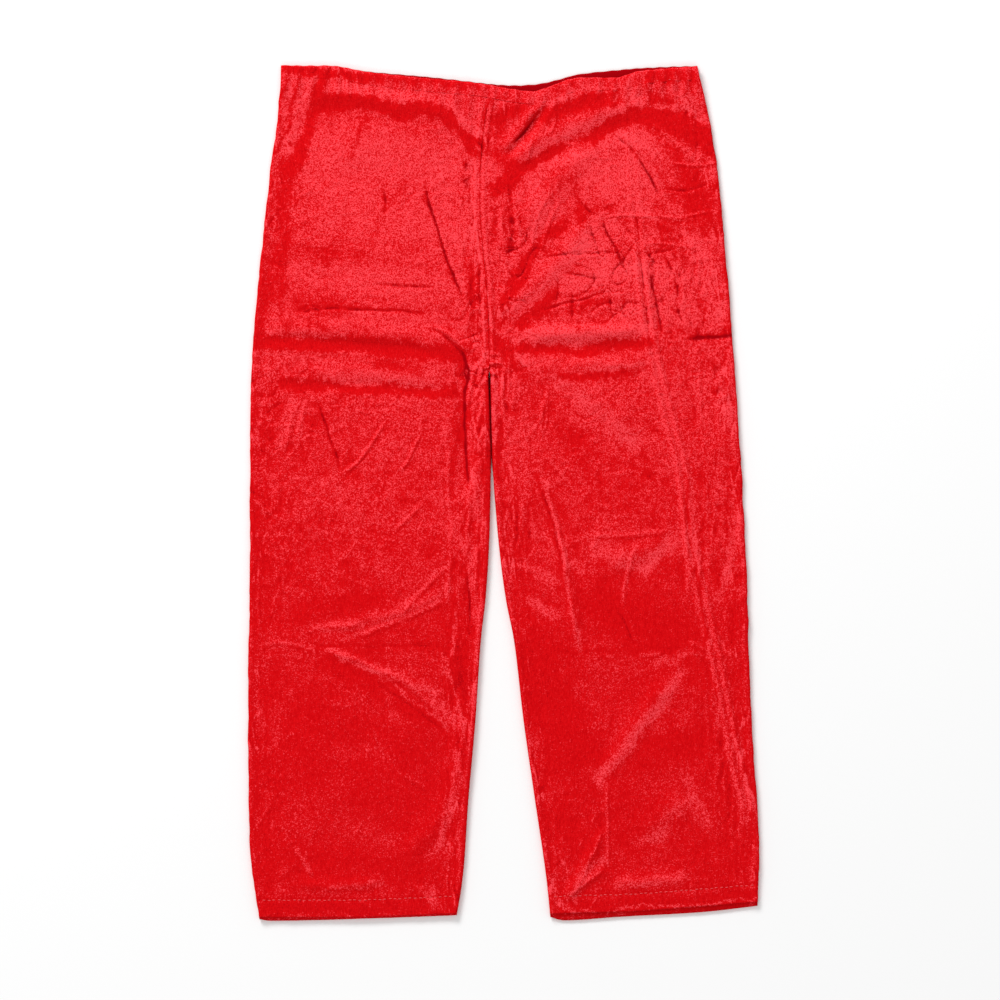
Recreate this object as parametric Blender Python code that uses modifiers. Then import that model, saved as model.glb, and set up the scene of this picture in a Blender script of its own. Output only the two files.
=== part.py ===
"""Santa suit trousers in red crushed velvet, laid flat on their back.

The tables are in millimetres: x to the viewer's right and down from the top of the waist, as seen
from straight above. The meshes are in metres, with +X to the viewer's right, +Y towards the waist
and +Z up from the surface the trousers lie on. The origin is below the middle of the outline.
"""

from collections import namedtuple

import bmesh
import bpy
import numpy as np

MM = 0.001

# Driving sizes of the cloth and its seams
MIDDLE_X = -0.63
MIDDLE_DOWN = 500.85
WALL = 1.5
HEM_WALL = 2.2
HEM_DEPTH = 22.0
SEAM_GAP = 0.3
SEAM_HEIGHT = 3.0

# Driving heights of the front's outer face
FRONT_TOP = 5.0
FRONT_EDGE_TOP = 6.1
EDGE_SWELL_REACH = 9.0
LOWEST_TOP = 3.4
LOWEST_HEM_TOP = 4.8
HEM_BLEND = 30.0
LOWEST_SHARPNESS = 3.0
WAIST_LIFT = 2.1
WAIST_LIFT_REACH = 24.0

# The rolled edge that a side seam or an inseam sits on
ROLL_REACH = 3.2
ROLL_RISE = 2.1
ROLL_COLUMNS = 3
CROTCH_DOWN = 357.0
ROLL_FULL_DOWN = 402.0
CROTCH_SEAM_PARTING = 0.35
CROTCH_SEAM_REACH = 50.0

# The elastic casing and its gathers
BAND_DEPTH = 15.7
BAND_THICK = 4.0
BAND_TO_PANEL = 0.55
BAND_NOSE = 4.0
GATHER_PITCH = 15.2
GATHER_ON_BAND = 0.7
GATHER_ON_EDGE = 0.5
GATHER_ON_FRONT = 1.5
GATHER_UNDER_BACK = 0.8
GATHER_FADE = 19.0
FLAT_AT_BAND = 3.0

# The two ridges that run side by side down the right leg
TWIN_RIDGE_APART = 9.4
TWIN_RIDGE_WIDTH = 3.4
TWIN_RIDGE_HEIGHT = 2.3

RED = (0.66, 0.012, 0.020, 1.0)

Outseam = namedtuple("Outseam", "down left right")
OUTSEAMS = [
    Outseam(0, -261.4, 226.3),
    Outseam(28, -262.6, 232.1),
    Outseam(63, -264.9, 240.3),
    Outseam(110, -272.0, 248.5),
    Outseam(204, -282.5, 257.9),
    Outseam(298, -291.9, 266.1),
    Outseam(392, -296.6, 272.6),
    Outseam(485, -297.8, 279.0),
    Outseam(626, -297.8, 285.5),
    Outseam(720, -300.1, 287.8),
    Outseam(814, -299.5, 292.5),
    Outseam(907, -297.8, 298.9),
    Outseam(954, -293.1, 298.4),
    Outseam(1005, -286.0, 296.4),
]

# The centre seam, then the two inseams below the crotch
Centre = namedtuple("Centre", "down middle gap")
CENTRES = [
    Centre(0, -14.1, SEAM_GAP),
    Centre(28, -15.2, SEAM_GAP),
    Centre(63, -22.3, SEAM_GAP),
    Centre(110, -27.0, SEAM_GAP),
    Centre(157, -28.1, SEAM_GAP),
    Centre(204, -25.8, SEAM_GAP),
    Centre(251, -19.9, SEAM_GAP),
    Centre(345, -14.1, SEAM_GAP),
    Centre(356, -13.5, SEAM_GAP),
    Centre(364, -12.9, 5.0),
    Centre(376, -13.3, 3.9),
    Centre(438, -13.6, 3.2),
    Centre(485, -13.6, 4.2),
    Centre(532, -12.6, 7.6),
    Centre(579, -11.2, 14.1),
    Centre(626, -9.7, 24.0),
    Centre(673, -7.7, 38.7),
    Centre(767, -5.3, 56.3),
    Centre(860, -2.7, 77.9),
    Centre(954, 0.6, 98.5),
    Centre(1005, -1.0, 112.0),
]

Edge = namedtuple("Edge", "x down")
WAISTS = {
    "front": [
        Edge(-261, 0.0),
        Edge(-206, 0.0),
        Edge(-155, 8.2),
        Edge(-83, 15.8),
        Edge(-36, 19.9),
        Edge(13, 28.1),
        Edge(32, 29.8),
        Edge(56, 23.4),
        Edge(76, 16.4),
        Edge(90, 14.1),
        Edge(130, 14.0),
        Edge(159, 6.4),
        Edge(195, 2.7),
        Edge(226, 0.6),
    ],
    "back": [
        Edge(-261, 0.0),
        Edge(-206, 0.6),
        Edge(-155, 7.0),
        Edge(-83, 13.5),
        Edge(-36, 18.8),
        Edge(8, 23.0),
        Edge(38, 21.0),
        Edge(64, 16.0),
        Edge(87, 10.0),
        Edge(129, 5.2),
        Edge(195, 0.6),
        Edge(226, 0.0),
    ],
}
HEMS = {
    "front_left": [Edge(-287, 997.7), Edge(-181, 997.7), Edge(-122, 995.9), Edge(-55, 993.0)],
    "front_right": [Edge(54, 993.5), Edge(84, 992.4), Edge(136, 991.2), Edge(230, 984.8), Edge(298, 979.5)],
    "back_left": [Edge(-287, 1000.0), Edge(-274, 1001.8), Edge(-149, 998.8), Edge(-55, 995.3)],
    "back_right": [Edge(54, 997.5), Edge(70, 1001.3), Edge(136, 997.1), Edge(230, 991.8), Edge(298, 984.2)],
}

# Height above the smooth front along a line from the first point to the second, bowed at its
# middle: bow is positive above a line that runs to the right
Fold = namedtuple("Fold", "name x0 down0 x1 down1 bow width height")
FOLDS = [
    Fold("waist pleat ridge", 41, 36, -6, 101, 6, 8, 3.2),
    Fold("waist pleat trough", 50, 38, 2, 108, 7, 5, -3.0),
    Fold("waist pleat far lip", 61, 40, 12, 113, 7, 7, 1.6),
    Fold("left swell under the waist", -239, 36, -40, 73, 16, 14, 3.0),
    Fold("left hollow under the swell", -260, 141, -75, 66, 73, 13, -1.2),
    Fold("left hip swell", -204, 98, -63, 110, 23, 35, 2.0),
    Fold("right diagonal 1", 5, 116, 159, 42, 9, 11, 3.2),
    Fold("right diagonal 1 hollow", 7, 134, 171, 61, 9, 9, -1.2),
    Fold("right diagonal 2", 19, 204, 113, 93, 12, 15, 3.0),
    Fold("right diagonal 3", -14, 292, 103, 174, -12, 12, 3.0),
    Fold("right hip arch", 159, 63, 256, 274, 21, 16, 2.2),
    Fold("left lap 1 ridge", -284, 305, -61, 324, 4, 12, 3.6),
    Fold("left lap 1 trough", -291, 321, -54, 340, 4, 7, -2.2),
    Fold("left lap 2 ridge", -251, 359, -75, 367, 4, 9, 3.2),
    Fold("left lap 2 trough", -277, 374, -56, 381, 1, 6, -2.0),
    Fold("right lap ridge", 14, 314, 169, 308, -2, 9, 4.2),
    Fold("right lap trough", 23, 332, 171, 327, -2, 7, -2.0),
    Fold("right second lap", 66, 352, 171, 345, -2, 8, 2.2),
    Fold("crotch to right leg", 28, 335, 155, 438, 7, 14, 2.8),
    Fold("crotch to left leg", -75, 309, -35, 335, 0, 6, 2.4),
    Fold("left inner thigh trough", -53, 331, -52, 509, 5, 6, -2.6),
    Fold("left inner thigh ridge", -30, 328, -40, 532, 9, 9, 3.2),
    Fold("left knee 1", -213, 659, -61, 612, -7, 8, 2.6),
    Fold("left knee 2", -218, 680, -82, 732, -2, 8, 2.6),
    Fold("left shin swell", -49, 743, -127, 936, 30, 14, 2.8),
    Fold("left hem swell", -249, 959, -141, 954, -4, 8, 2.2),
    Fold("right inner knee", 48, 535, 86, 679, 8, 7, 2.8),
    Fold("right knee swell", 117, 579, 192, 551, -7, 11, 2.4),
    Fold("right shin ridge", 204, 710, 115, 835, -2, 11, 3.4),
    Fold("right shin swell", 159, 903, 218, 860, 5, 16, 2.6),
    Fold("right hem swell", 127, 957, 218, 952, 0, 8, 2.4),
    Fold("right hem corner 1", 69, 978, 117, 889, -4, 7, 2.8),
    Fold("right hem corner 2", 73, 975, 122, 940, 2, 7, 2.2),
    Fold("right outer thigh", 260, 356, 263, 462, -5, 11, 2.2),
]

# The line on each leg that the mesh's columns follow, because a long fold runs along it
Guide = namedtuple("Guide", "down x")
GUIDES = {
    "left": [Guide(14, -61), Guide(227, -56), Guide(356, -47), Guide(509, -52), Guide(673, -63), Guide(995, -80)],
    "right": [
        Guide(14, 145),
        Guide(181, 156),
        Guide(298, 168),
        Guide(402, 191),
        Guide(474, 209),
        Guide(570, 220),
        Guide(662, 242),
        Guide(825, 275),
        Guide(875, 286),
        Guide(995, 288),
    ],
}
GUIDE_LINES = {"left": (-11, 0, 11, 22), "right": (-12, -5, 0, 5, 12)}
GUIDE_TO_EDGE = {"left": 31.0, "right": 20.0}
ROW_SLOPES = {"left": 0.075, "right": -0.045}
ROW_SLOPE_DOWN = 345.0
ROW_SLOPE_REACH = 80.0

# Rows of the mesh, closer where the laps cross the thighs
Rows = namedtuple("Rows", "to step")
PANEL_LENGTH = 975.0
ROWS = {
    "front": [Rows(3, 3), Rows(27, 8), Rows(275, 20.5), Rows(365, 9.5), Rows(944, 28), Rows(953, 9)],
    "back": [Rows(3, 3), Rows(27, 8), Rows(315, 48), Rows(375, 12), Rows(944, 72), Rows(953, 9)],
}
GATHERED_ROWS = 4
COLUMN_STEP = {"front": 21.0, "back": 42.0}
GATHER_CUTS = {"front": 3, "back": 7}

# Half of the casing's section: down from its top fold, and out from its inner face
CasingPoint = namedtuple("CasingPoint", "down out on_outer on_edge")
CASING_SECTION = [
    CasingPoint(0.0, 2.0, 0.0, 1.0),
    CasingPoint(1.2, 3.6, 0.4, 0.8),
    CasingPoint(4.5, BAND_THICK, 1.0, 0.3),
    CasingPoint(12.5, BAND_THICK, 1.0, 0.0),
    CasingPoint(BAND_DEPTH, 3.1, 0.4, 0.0),
    CasingPoint(BAND_DEPTH, 1.4, 0.0, 0.0),
    CasingPoint(8.0, 0.0, 0.0, 0.0),
    CasingPoint(1.2, 0.5, 0.0, 0.8),
]
BAND_RINGS_PER_GATHER = 4


def along_table(at, knots, values):
    """A curve through a table's points that never swings past them."""
    knots = np.asarray(knots, float)
    values = np.asarray(values, float)
    steps = np.diff(values) / np.diff(knots)
    before, after = steps[:-1], steps[1:]
    level = before * after <= 0
    inner = np.where(level, 0.0, 2 * before * after / np.where(level, 1.0, before + after))
    slopes = np.concatenate([steps[:1], inner, steps[-1:]])
    at = np.clip(at, knots[0], knots[-1])
    k = np.clip(np.searchsorted(knots, at, side="right") - 1, 0, len(knots) - 2)
    width = knots[k + 1] - knots[k]
    t = (at - knots[k]) / width
    start = (1 + 2 * t) * (1 - t) ** 2 * values[k] + t * (1 - t) ** 2 * width * slopes[k]
    end = t * t * (3 - 2 * t) * values[k + 1] + t * t * (t - 1) * width * slopes[k + 1]
    return start + end


def column(table, name):
    return [getattr(row, name) for row in table]


def outseam(side, down):
    return along_table(down, column(OUTSEAMS, "down"), column(OUTSEAMS, side))


def inner_edge(side, down):
    """The panel's edge at the centre seam, and below the crotch at its inseam."""
    downs = column(CENTRES, "down")
    half_gap = along_table(down, downs, column(CENTRES, "gap")) / 2
    sign = -1 if side == "left" else 1
    return along_table(down, downs, column(CENTRES, "middle")) + sign * half_gap


def edge_down(table, x):
    return along_table(x, column(table, "x"), column(table, "down"))


def ease(value, start, end):
    """0 before start, 1 after end and smooth between them."""
    t = np.clip((value - start) / (end - start), 0, 1)
    return t * t * (3 - 2 * t)


def gather_phase(x):
    """How many gathers lie between x = 0 and x: their pitch is uneven."""
    return x / GATHER_PITCH + 0.22 * np.sin(x / 31) + 0.13 * np.sin(x / 13 + 1)


def gather_wave(x):
    """From -1 in a hollow to 1 on a crest, with crests of uneven height."""
    strength = 0.72 + 0.28 * np.sin(x / 19 + 0.6) * np.sin(x / 43)
    return strength * np.cos(2 * np.pi * gather_phase(x))


def fold_height(fold, x, down):
    run_x = fold.x1 - fold.x0
    run_down = fold.down1 - fold.down0
    length = np.hypot(run_x, run_down)
    along = ((x - fold.x0) * run_x + (down - fold.down0) * run_down) / length**2
    off = ((x - fold.x0) * run_down - (down - fold.down0) * run_x) / length
    middle = np.clip(4 * along * (1 - along), 0, 1)
    off = off - fold.bow * middle
    return fold.height * np.clip(1.6 * middle, 0, 1) * np.exp(-((off / fold.width) ** 2))


def twin_ridge_height(x, down):
    guide = along_table(down, column(GUIDES["right"], "down"), column(GUIDES["right"], "x"))
    strength = (0.35 + 0.65 * ease(down, 190, 240)) * ease(down, 30, 70) * (1 - ease(down, 850, 900))
    height = 0
    for sign in (-1, 1):
        off = (x - guide + sign * TWIN_RIDGE_APART / 2) / TWIN_RIDGE_WIDTH
        height = height + np.exp(-(off**2))
    return TWIN_RIDGE_HEIGHT * strength * height


def front_top(side, x, down, from_band, from_hem):
    """Height of the front's outer face above the surface the trousers lie on."""
    height = FRONT_TOP + WAIST_LIFT * np.exp(-((from_band / WAIST_LIFT_REACH) ** 2))
    for fold in FOLDS:
        height = height + fold_height(fold, x, down)
    if side == "right":
        height = height + twin_ridge_height(x, down)
    height = height + GATHER_ON_FRONT * gather_wave(x) * np.exp(-((from_band / GATHER_FADE) ** 2))
    from_outseam = np.abs(x - outseam(side, down))
    from_inner = np.abs(x - inner_edge(side, down))
    swell = np.exp(-((from_outseam / EDGE_SWELL_REACH) ** 2))
    inner_swell = ease(down, CROTCH_DOWN, ROLL_FULL_DOWN) * np.exp(-((from_inner / EDGE_SWELL_REACH) ** 2))
    swell = np.maximum(swell, inner_swell)
    lowest = LOWEST_TOP + (LOWEST_HEM_TOP - LOWEST_TOP) * (1 - ease(from_hem, HEM_DEPTH, HEM_DEPTH + HEM_BLEND))
    lowest = lowest + (FRONT_EDGE_TOP - lowest) * swell
    height = height + (FRONT_EDGE_TOP - FRONT_TOP) * swell
    return lowest + np.log1p(np.exp((height - lowest) * LOWEST_SHARPNESS)) / LOWEST_SHARPNESS


def back_bottom(x, from_band):
    """Height of the back's outer face: flat on the surface, but for the gathers' hollows."""
    hollow = 0.5 - 0.5 * gather_wave(x)
    return GATHER_UNDER_BACK * hollow * np.exp(-((from_band / GATHER_FADE) ** 2))


def row_places(face):
    places = [0.0]
    for rows in ROWS[face]:
        count = max(1, round((rows.to - places[-1]) / rows.step))
        places += list(np.linspace(places[-1], rows.to, count + 1)[1:])
    places += [PANEL_LENGTH - HEM_DEPTH / 2, PANEL_LENGTH]
    return np.array(places) / PANEL_LENGTH


def anchor_lines(side, face, down):
    """The lines that the columns between the rolled edges are spread between, left to right."""
    outer, inner = outseam(side, down), inner_edge(side, down)
    left, right = (outer, inner) if side == "left" else (inner, outer)
    lines = [left + ROLL_REACH, right - ROLL_REACH]
    if face == "front":
        guide = along_table(down, column(GUIDES[side], "down"), column(GUIDES[side], "x"))
        guide = np.clip(guide, left + GUIDE_TO_EDGE[side], right - GUIDE_TO_EDGE[side])
        lines[1:1] = [guide + offset for offset in GUIDE_LINES[side]]
    return left, right, np.array(lines)


def column_counts(side, face):
    """How many columns lie in each gap between the anchor lines, by the gap's width at mid-thigh."""
    _, _, lines = anchor_lines(side, face, np.array([450.0]))
    widths = np.diff(lines[:, 0])
    return [max(1, round(width / COLUMN_STEP[face])) for width in widths]


def panel_points(side, face, across, fraction):
    """Outer face of a panel, from a place across its columns and a fraction of its length."""
    counts = column_counts(side, face)
    starts = np.concatenate([[0], np.cumsum(counts)]) + ROLL_COLUMNS
    last = starts[-1] + ROLL_COLUMNS
    inside = np.clip(across, starts[0], starts[-1])
    gap = np.clip(np.searchsorted(starts, inside, side="right") - 1, 0, len(counts) - 1)
    part = (inside - starts[gap]) / (starts[gap + 1] - starts[gap])
    band_end = WAISTS[face]
    hem = HEMS[f"{face}_{side}"]
    down = 20 + fraction * PANEL_LENGTH
    for _ in range(4):
        left, right, lines = anchor_lines(side, face, down)
        each = np.arange(len(down))
        x = lines[gap, each] * (1 - part) + lines[gap + 1, each] * part
        top = edge_down(band_end, x) + BAND_DEPTH + BAND_TO_PANEL
        bottom = edge_down(hem, x)
        down = top + fraction * (bottom - top)
        slope = ROW_SLOPES[side] * np.exp(-(((down - ROW_SLOPE_DOWN) / ROW_SLOPE_REACH) ** 2))
        down = down + slope * (x - (left + right) / 2)
    turn = edge_turn(side, across, last, down, left, right)
    level_x = np.where(turn.near < 1.5, x + (1 - turn.share) * (turn.edge - x), x)
    from_band = np.maximum(down - top, FLAT_AT_BAND)
    if face == "front":
        z = front_top(side, level_x, np.maximum(down, top + FLAT_AT_BAND), from_band, bottom - down)
    else:
        z = back_bottom(level_x, from_band)
    edge_x, z = turned(face, turn, x, down, z)
    down = down + (1 - fraction) * (edge_down(band_end, edge_x) - edge_down(band_end, x))
    down = down + fraction * (edge_down(hem, edge_x) - edge_down(hem, x))
    points = np.column_stack([(edge_x - MIDDLE_X) * MM, (MIDDLE_DOWN - down) * MM, z * MM])
    return points, bottom - down


Turn = namedtuple("Turn", "near edge inward at_inner share")


def edge_turn(side, across, last, down, left, right):
    """For each point: columns to the nearest edge, and how far that edge's columns are turned over."""
    to_left, to_right = across, last - across
    near_left = to_left < to_right
    at_inner = near_left == (side == "right")
    share = np.where(at_inner, ease(down, CROTCH_DOWN, ROLL_FULL_DOWN), 1.0)
    edge = np.where(near_left, left, right)
    return Turn(np.minimum(to_left, to_right), edge, np.where(near_left, 1, -1), at_inner, share)


def turned(face, turn, x, down, z):
    """Turns the columns at both edges over, but leaves them flat at the centre seam."""
    outward = 1 if face == "front" else -1
    steps = np.arange(ROLL_COLUMNS + 1)
    reach = np.interp(turn.near, steps, [0, 0, 0.293, 1]) * ROLL_REACH
    drop = np.interp(turn.near, steps, [1, 1, 0.293, 0]) * ROLL_RISE
    parting = CROTCH_SEAM_PARTING * (1 - ease(down, ROLL_FULL_DOWN, ROLL_FULL_DOWN + CROTCH_SEAM_REACH))
    half_gap = SEAM_GAP / 2 + np.where(turn.at_inner & (outward > 0), parting, 0)
    turned_z = np.where(turn.near < 0.5, SEAM_HEIGHT + outward * half_gap, z - outward * drop)
    flat_x = turn.edge + turn.inward * ROLL_REACH * turn.near / ROLL_COLUMNS
    turned_x = turn.edge + turn.inward * reach
    at_edge = turn.near < ROLL_COLUMNS
    x = np.where(at_edge, flat_x + turn.share * (turned_x - flat_x), x)
    return x, np.where(at_edge, z + turn.share * (turned_z - z), z)


def velvet(name):
    material = bpy.data.materials.new(name)
    material.use_nodes = True
    shader = material.node_tree.nodes["Principled BSDF"]
    shader.inputs["Base Color"].default_value = RED
    shader.inputs["Roughness"].default_value = 0.62
    shader.inputs["Metallic"].default_value = 0.0
    shader.inputs["Sheen Weight"].default_value = 0.8
    return material


def add_object(name, mesh, collection):
    thing = bpy.data.objects.new(name, mesh)
    collection.objects.link(thing)
    mesh.materials.append(velvet(f"{name}_velvet"))
    mesh.shade_smooth()
    mesh.set_sharp_from_angle(angle=np.radians(50))
    return thing


def add_panel(side, face, collection):
    """A leg's front or back: a wall of cloth, thicker in its turned-up hem."""
    rows = row_places(face)
    columns = sum(column_counts(side, face)) + 2 * ROLL_COLUMNS
    grid = bmesh.new()
    bmesh.ops.create_grid(grid, x_segments=columns, y_segments=len(rows) - 1, size=0.5)
    for vertex in grid.verts:
        vertex.co = ((vertex.co.x + 0.5) * columns, (0.5 - vertex.co.y) * (len(rows) - 1), 0)
    gathered = [edge for edge in grid.edges if is_gathered(edge, columns)]
    bmesh.ops.subdivide_edges(grid, edges=gathered, cuts=GATHER_CUTS[face], use_grid_fill=True)
    places = np.array([vertex.co[:2] for vertex in grid.verts])
    fraction = np.interp(places[:, 1], np.arange(len(rows)), rows)
    points, from_hem = panel_points(side, face, places[:, 0], fraction)
    for vertex, point in zip(grid.verts, points):
        vertex.co = point
    outward = 1 if face == "front" else -1
    if sum(polygon.normal.z for polygon in refreshed(grid)) * outward < 0:
        bmesh.ops.reverse_faces(grid, faces=grid.faces)
    mesh = bpy.data.meshes.new(f"{face}_{side}")
    grid.to_mesh(mesh)
    grid.free()
    panel = add_object(f"{face}_{side}", mesh, collection)
    thickness = panel.vertex_groups.new(name="thickness")
    for index, distance in enumerate(from_hem):
        thickness.add([index], 1.0 if distance < HEM_DEPTH + 1 else WALL / HEM_WALL, "REPLACE")
    wall = panel.modifiers.new("wall", "SOLIDIFY")
    wall.thickness = HEM_WALL * MM
    wall.vertex_group = thickness.name
    wall.offset = -1
    wall.use_even_offset = True


def refreshed(grid):
    grid.normal_update()
    return grid.faces


def is_gathered(edge, columns):
    """An edge across the cloth, in the rows under the casing and between the rolled edges."""
    first, second = (vertex.co for vertex in edge.verts)
    left, right = sorted((first.x, second.x))
    inside = left > ROLL_COLUMNS - 0.5 and right < columns - ROLL_COLUMNS + 0.5
    return abs(first.y - second.y) < 0.5 and first.y < GATHERED_ROWS - 0.5 and inside


def casing_rings():
    """Where the casing's rings are, and how full each is: its ends taper to a nose."""
    left, right = outseam("left", 0), outseam("right", 0)
    reach = np.linspace(left, right, 4000)
    first = np.ceil(gather_phase(left + BAND_NOSE) * BAND_RINGS_PER_GATHER)
    last = np.floor(gather_phase(right - BAND_NOSE) * BAND_RINGS_PER_GATHER)
    steps = np.arange(first, last + 1) / BAND_RINGS_PER_GATHER
    between = np.interp(steps, gather_phase(reach), reach)
    places = np.concatenate([[left, left + BAND_NOSE / 4], between, [right - BAND_NOSE / 4, right]])
    fullness = np.concatenate([[0.35, 0.75], np.ones(len(between)), [0.75, 0.35]])
    return places, fullness


def add_casing(face, collection):
    """A waist casing with its elastic: rings of one section, drawn in by the gathers."""
    places, fullness = casing_rings()
    section = CASING_SECTION + CASING_SECTION[:1]
    tube = bmesh.new()
    bmesh.ops.create_grid(tube, x_segments=len(places) - 1, y_segments=len(section) - 1, size=0.5)
    for vertex in tube.verts:
        ring = round((vertex.co.x + 0.5) * (len(places) - 1))
        point = section[round((vertex.co.y + 0.5) * (len(section) - 1))]
        x, full = places[ring], fullness[ring]
        wave = gather_wave(x)
        down = edge_down(WAISTS[face], x) + point.down + GATHER_ON_EDGE * (1 - wave) * point.on_edge
        out = BAND_THICK / 2 + (point.out - BAND_THICK / 2) * full
        if face == "front":
            z = BAND_THICK + SEAM_GAP + out + GATHER_ON_BAND * wave * point.on_outer
        else:
            z = BAND_THICK - out + GATHER_ON_BAND * (1 - wave) / 2 * point.on_outer
        vertex.co = ((x - MIDDLE_X) * MM, (MIDDLE_DOWN - down) * MM, z * MM)
    bmesh.ops.remove_doubles(tube, verts=tube.verts, dist=1e-6)
    bmesh.ops.holes_fill(tube, edges=[edge for edge in tube.edges if edge.is_boundary], sides=0)
    bmesh.ops.recalc_face_normals(tube, faces=tube.faces)
    mesh = bpy.data.meshes.new(f"waistband_{face}")
    tube.to_mesh(mesh)
    tube.free()
    add_object(f"waistband_{face}", mesh, collection)


def main():
    for thing in list(bpy.data.objects):
        bpy.data.objects.remove(thing)
    collection = bpy.data.collections.new("santa_suit_trousers")
    bpy.context.scene.collection.children.link(collection)
    for face in ("front", "back"):
        add_casing(face, collection)
        for side in ("left", "right"):
            add_panel(side, face, collection)


main()
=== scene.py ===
"""The looks of the santa suit trousers: crushed red velvet laid flat, seen from straight above.

The tables are in millimetres: x to the viewer's right and down from the top of the waist. Meshes
are in metres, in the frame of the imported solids.
"""

from collections import namedtuple

import bmesh
import bpy
import numpy as np
from mathutils import Euler, Matrix, Vector


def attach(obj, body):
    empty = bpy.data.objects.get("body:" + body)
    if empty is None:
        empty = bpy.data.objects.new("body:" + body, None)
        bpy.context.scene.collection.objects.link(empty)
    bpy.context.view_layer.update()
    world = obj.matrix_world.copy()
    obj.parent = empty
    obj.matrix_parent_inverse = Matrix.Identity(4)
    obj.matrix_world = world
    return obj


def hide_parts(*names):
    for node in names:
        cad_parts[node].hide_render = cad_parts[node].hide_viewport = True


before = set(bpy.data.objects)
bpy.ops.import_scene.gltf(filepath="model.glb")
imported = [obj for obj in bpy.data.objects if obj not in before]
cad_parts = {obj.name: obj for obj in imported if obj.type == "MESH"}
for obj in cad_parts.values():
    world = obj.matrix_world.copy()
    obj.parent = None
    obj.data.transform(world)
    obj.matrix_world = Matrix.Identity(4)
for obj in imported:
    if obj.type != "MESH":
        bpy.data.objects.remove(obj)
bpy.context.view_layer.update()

MM = 0.001
BODY = "root"

# The photograph's scale and middle, and the camera that repeats its framing
PHOTO_PIXEL = 1.1723
PHOTO_WIDTH_PIXELS = 1000
PHOTO_ZERO_X_PIXEL = 504
PHOTO_ZERO_DOWN_PIXEL = 66
CAMERA_HEIGHT = 4.0
CAMERA_SENSOR = 36

# Sizes of the cloth and its seams, as in the solids
MIDDLE_X = -0.63
MIDDLE_DOWN = 500.85
WALL = 1.5
HEM_WALL = 2.2
HEM_DEPTH = 22.0
SEAM_GAP = 0.05
SEAM_HEIGHT = 3.0

# Heights of the front's outer face
FRONT_TOP = 5.0
FRONT_EDGE_TOP = 6.1
EDGE_SWELL_REACH = 9.0
LOWEST_TOP = 3.4
LOWEST_HEM_TOP = 4.8
HEM_BLEND = 30.0
LOWEST_SHARPNESS = 3.0
WAIST_LIFT = 2.8
WAIST_LIFT_REACH = 24.0
JOINT_REACH = 7.0

# The rolled edge that a side seam or an inseam sits on
ROLL_REACH = 3.2
ROLL_RISE = 2.1
ROLL_COLUMNS = 8
SEAM_OPENS_DOWN = 340.0
CROTCH_DOWN = 357.0
ROLL_FULL_DOWN = 402.0

# Where the legs lie close together, from where that starts and ends, and how far the painted shadow on
# the back's cloth reaches beside it
SLIT_START = (352, 366)
SLIT_END = (452, 488)
SLIT_SHADE_REACH = 6.0

# The elastic casing and its gathers
BAND_DEPTH = 15.7
BAND_THICK = 4.0
BAND_TO_PANEL = 0.06
BAND_NOSE = 4.0
CASING_WALL = 0.8
GATHER_PITCH = 15.2
GATHER_ON_BAND = 0.7
GATHER_ON_EDGE = 0.5
GATHER_ON_FRONT = 1.0
GATHER_UNDER_BACK = 0.8
GATHER_FADE = 19.0
PUCKER_HEIGHT = 1.1
CASING_STEP = 1.3
CASING_AROUND = 32
CASING_NOSE = np.array([0.0, 0.3, 0.8, 1.6, 2.6, 3.6])

# The two ridges that run side by side down the right leg
TWIN_RIDGE_APART = 9.4
TWIN_RIDGE_WIDTH = 3.4
TWIN_RIDGE_HEIGHT = 1.7

# Finer relief: seam allowances under the cloth, the hem's stitched line and the crushed pile
ALLOWANCE = 4.6
ALLOWANCE_WIDTH = 1.6
ALLOWANCE_HEIGHT = 1.2
SEAM_GROOVE = 1.3
SEAM_GROOVE_WIDTH = 1.6
HEM_STITCH_UP = 20.5
HEM_GROOVE = 0.4
HEM_GROOVE_WIDTH = 1.6
CRINKLE_HEIGHT = 0.6
SLACK_HEIGHT = 1.1
FLECK_HEIGHT = 0.7
CRACK_DEPTH = 1.2
LONG_RIPPLE_HEIGHT = 1.3
RIPPLE_SHARES = {"left": (1.0, 0.25), "right": (0.7, 0.8)}
EDGE_WAVE = 1.3
FOLD_STRENGTH = 0.85
BACK_FINE = 0.5
BACK_RELIEF = 0.9
BACK_HEM_STITCH = (0.4, 1.8)
SLOPE_STEP = 0.7
ACROSS_SLOPE_SHARE = 0.6

# Random patterns: how large their bumps are, the seed of each, and how far they are drawn out
Pattern = namedtuple("Pattern", "size seed stretch", defaults=[1.0])
LATTICE = 64
EDGE_WAVES = {
    "left": (Pattern(23, 101, 1.01), Pattern(7, 102, 1.01)),
    "right": (Pattern(23, 103, 1.01), Pattern(7, 104, 1.01)),
}
CRUSH = Pattern(120, 5)
CRINKLES = Pattern(13.0, 11)
SMALL_CRINKLES = Pattern(6.5, 14)
BACK_CRINKLES = Pattern(13.0, 31)
FLECKS = Pattern(21.0, 24)
FLECK_PLACES = Pattern(45, 27)
CRACKS = Pattern(23.0, 81)
CRACK_PLACES = Pattern(70, 83)
RIPPLE_PLACES = Pattern(60, 91)
LONG_RIPPLES = Pattern(7.5, 93, 8.0)
SHORTER_RIPPLES = Pattern(5.0, 96, 4.0)
SLACK = Pattern(42.0, 21)
CASING_SLACK = Pattern(34, 53)
PUCKERS = Pattern(8.0, 51)
FIBRES = Pattern(2.9, 65, 8.0)
STREAKS = Pattern(3.4, 45, 9.0)
NAP_PATCHES = ((0.20, Pattern(55, 41)), (0.16, Pattern(15, 43)))

# How far, in which size and from which seed places are moved about to break up a straight line
BEND = (1.6, 19, 71)
RAGGED = ((4.5, 26, 61), (2.0, 9, 63))
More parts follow.
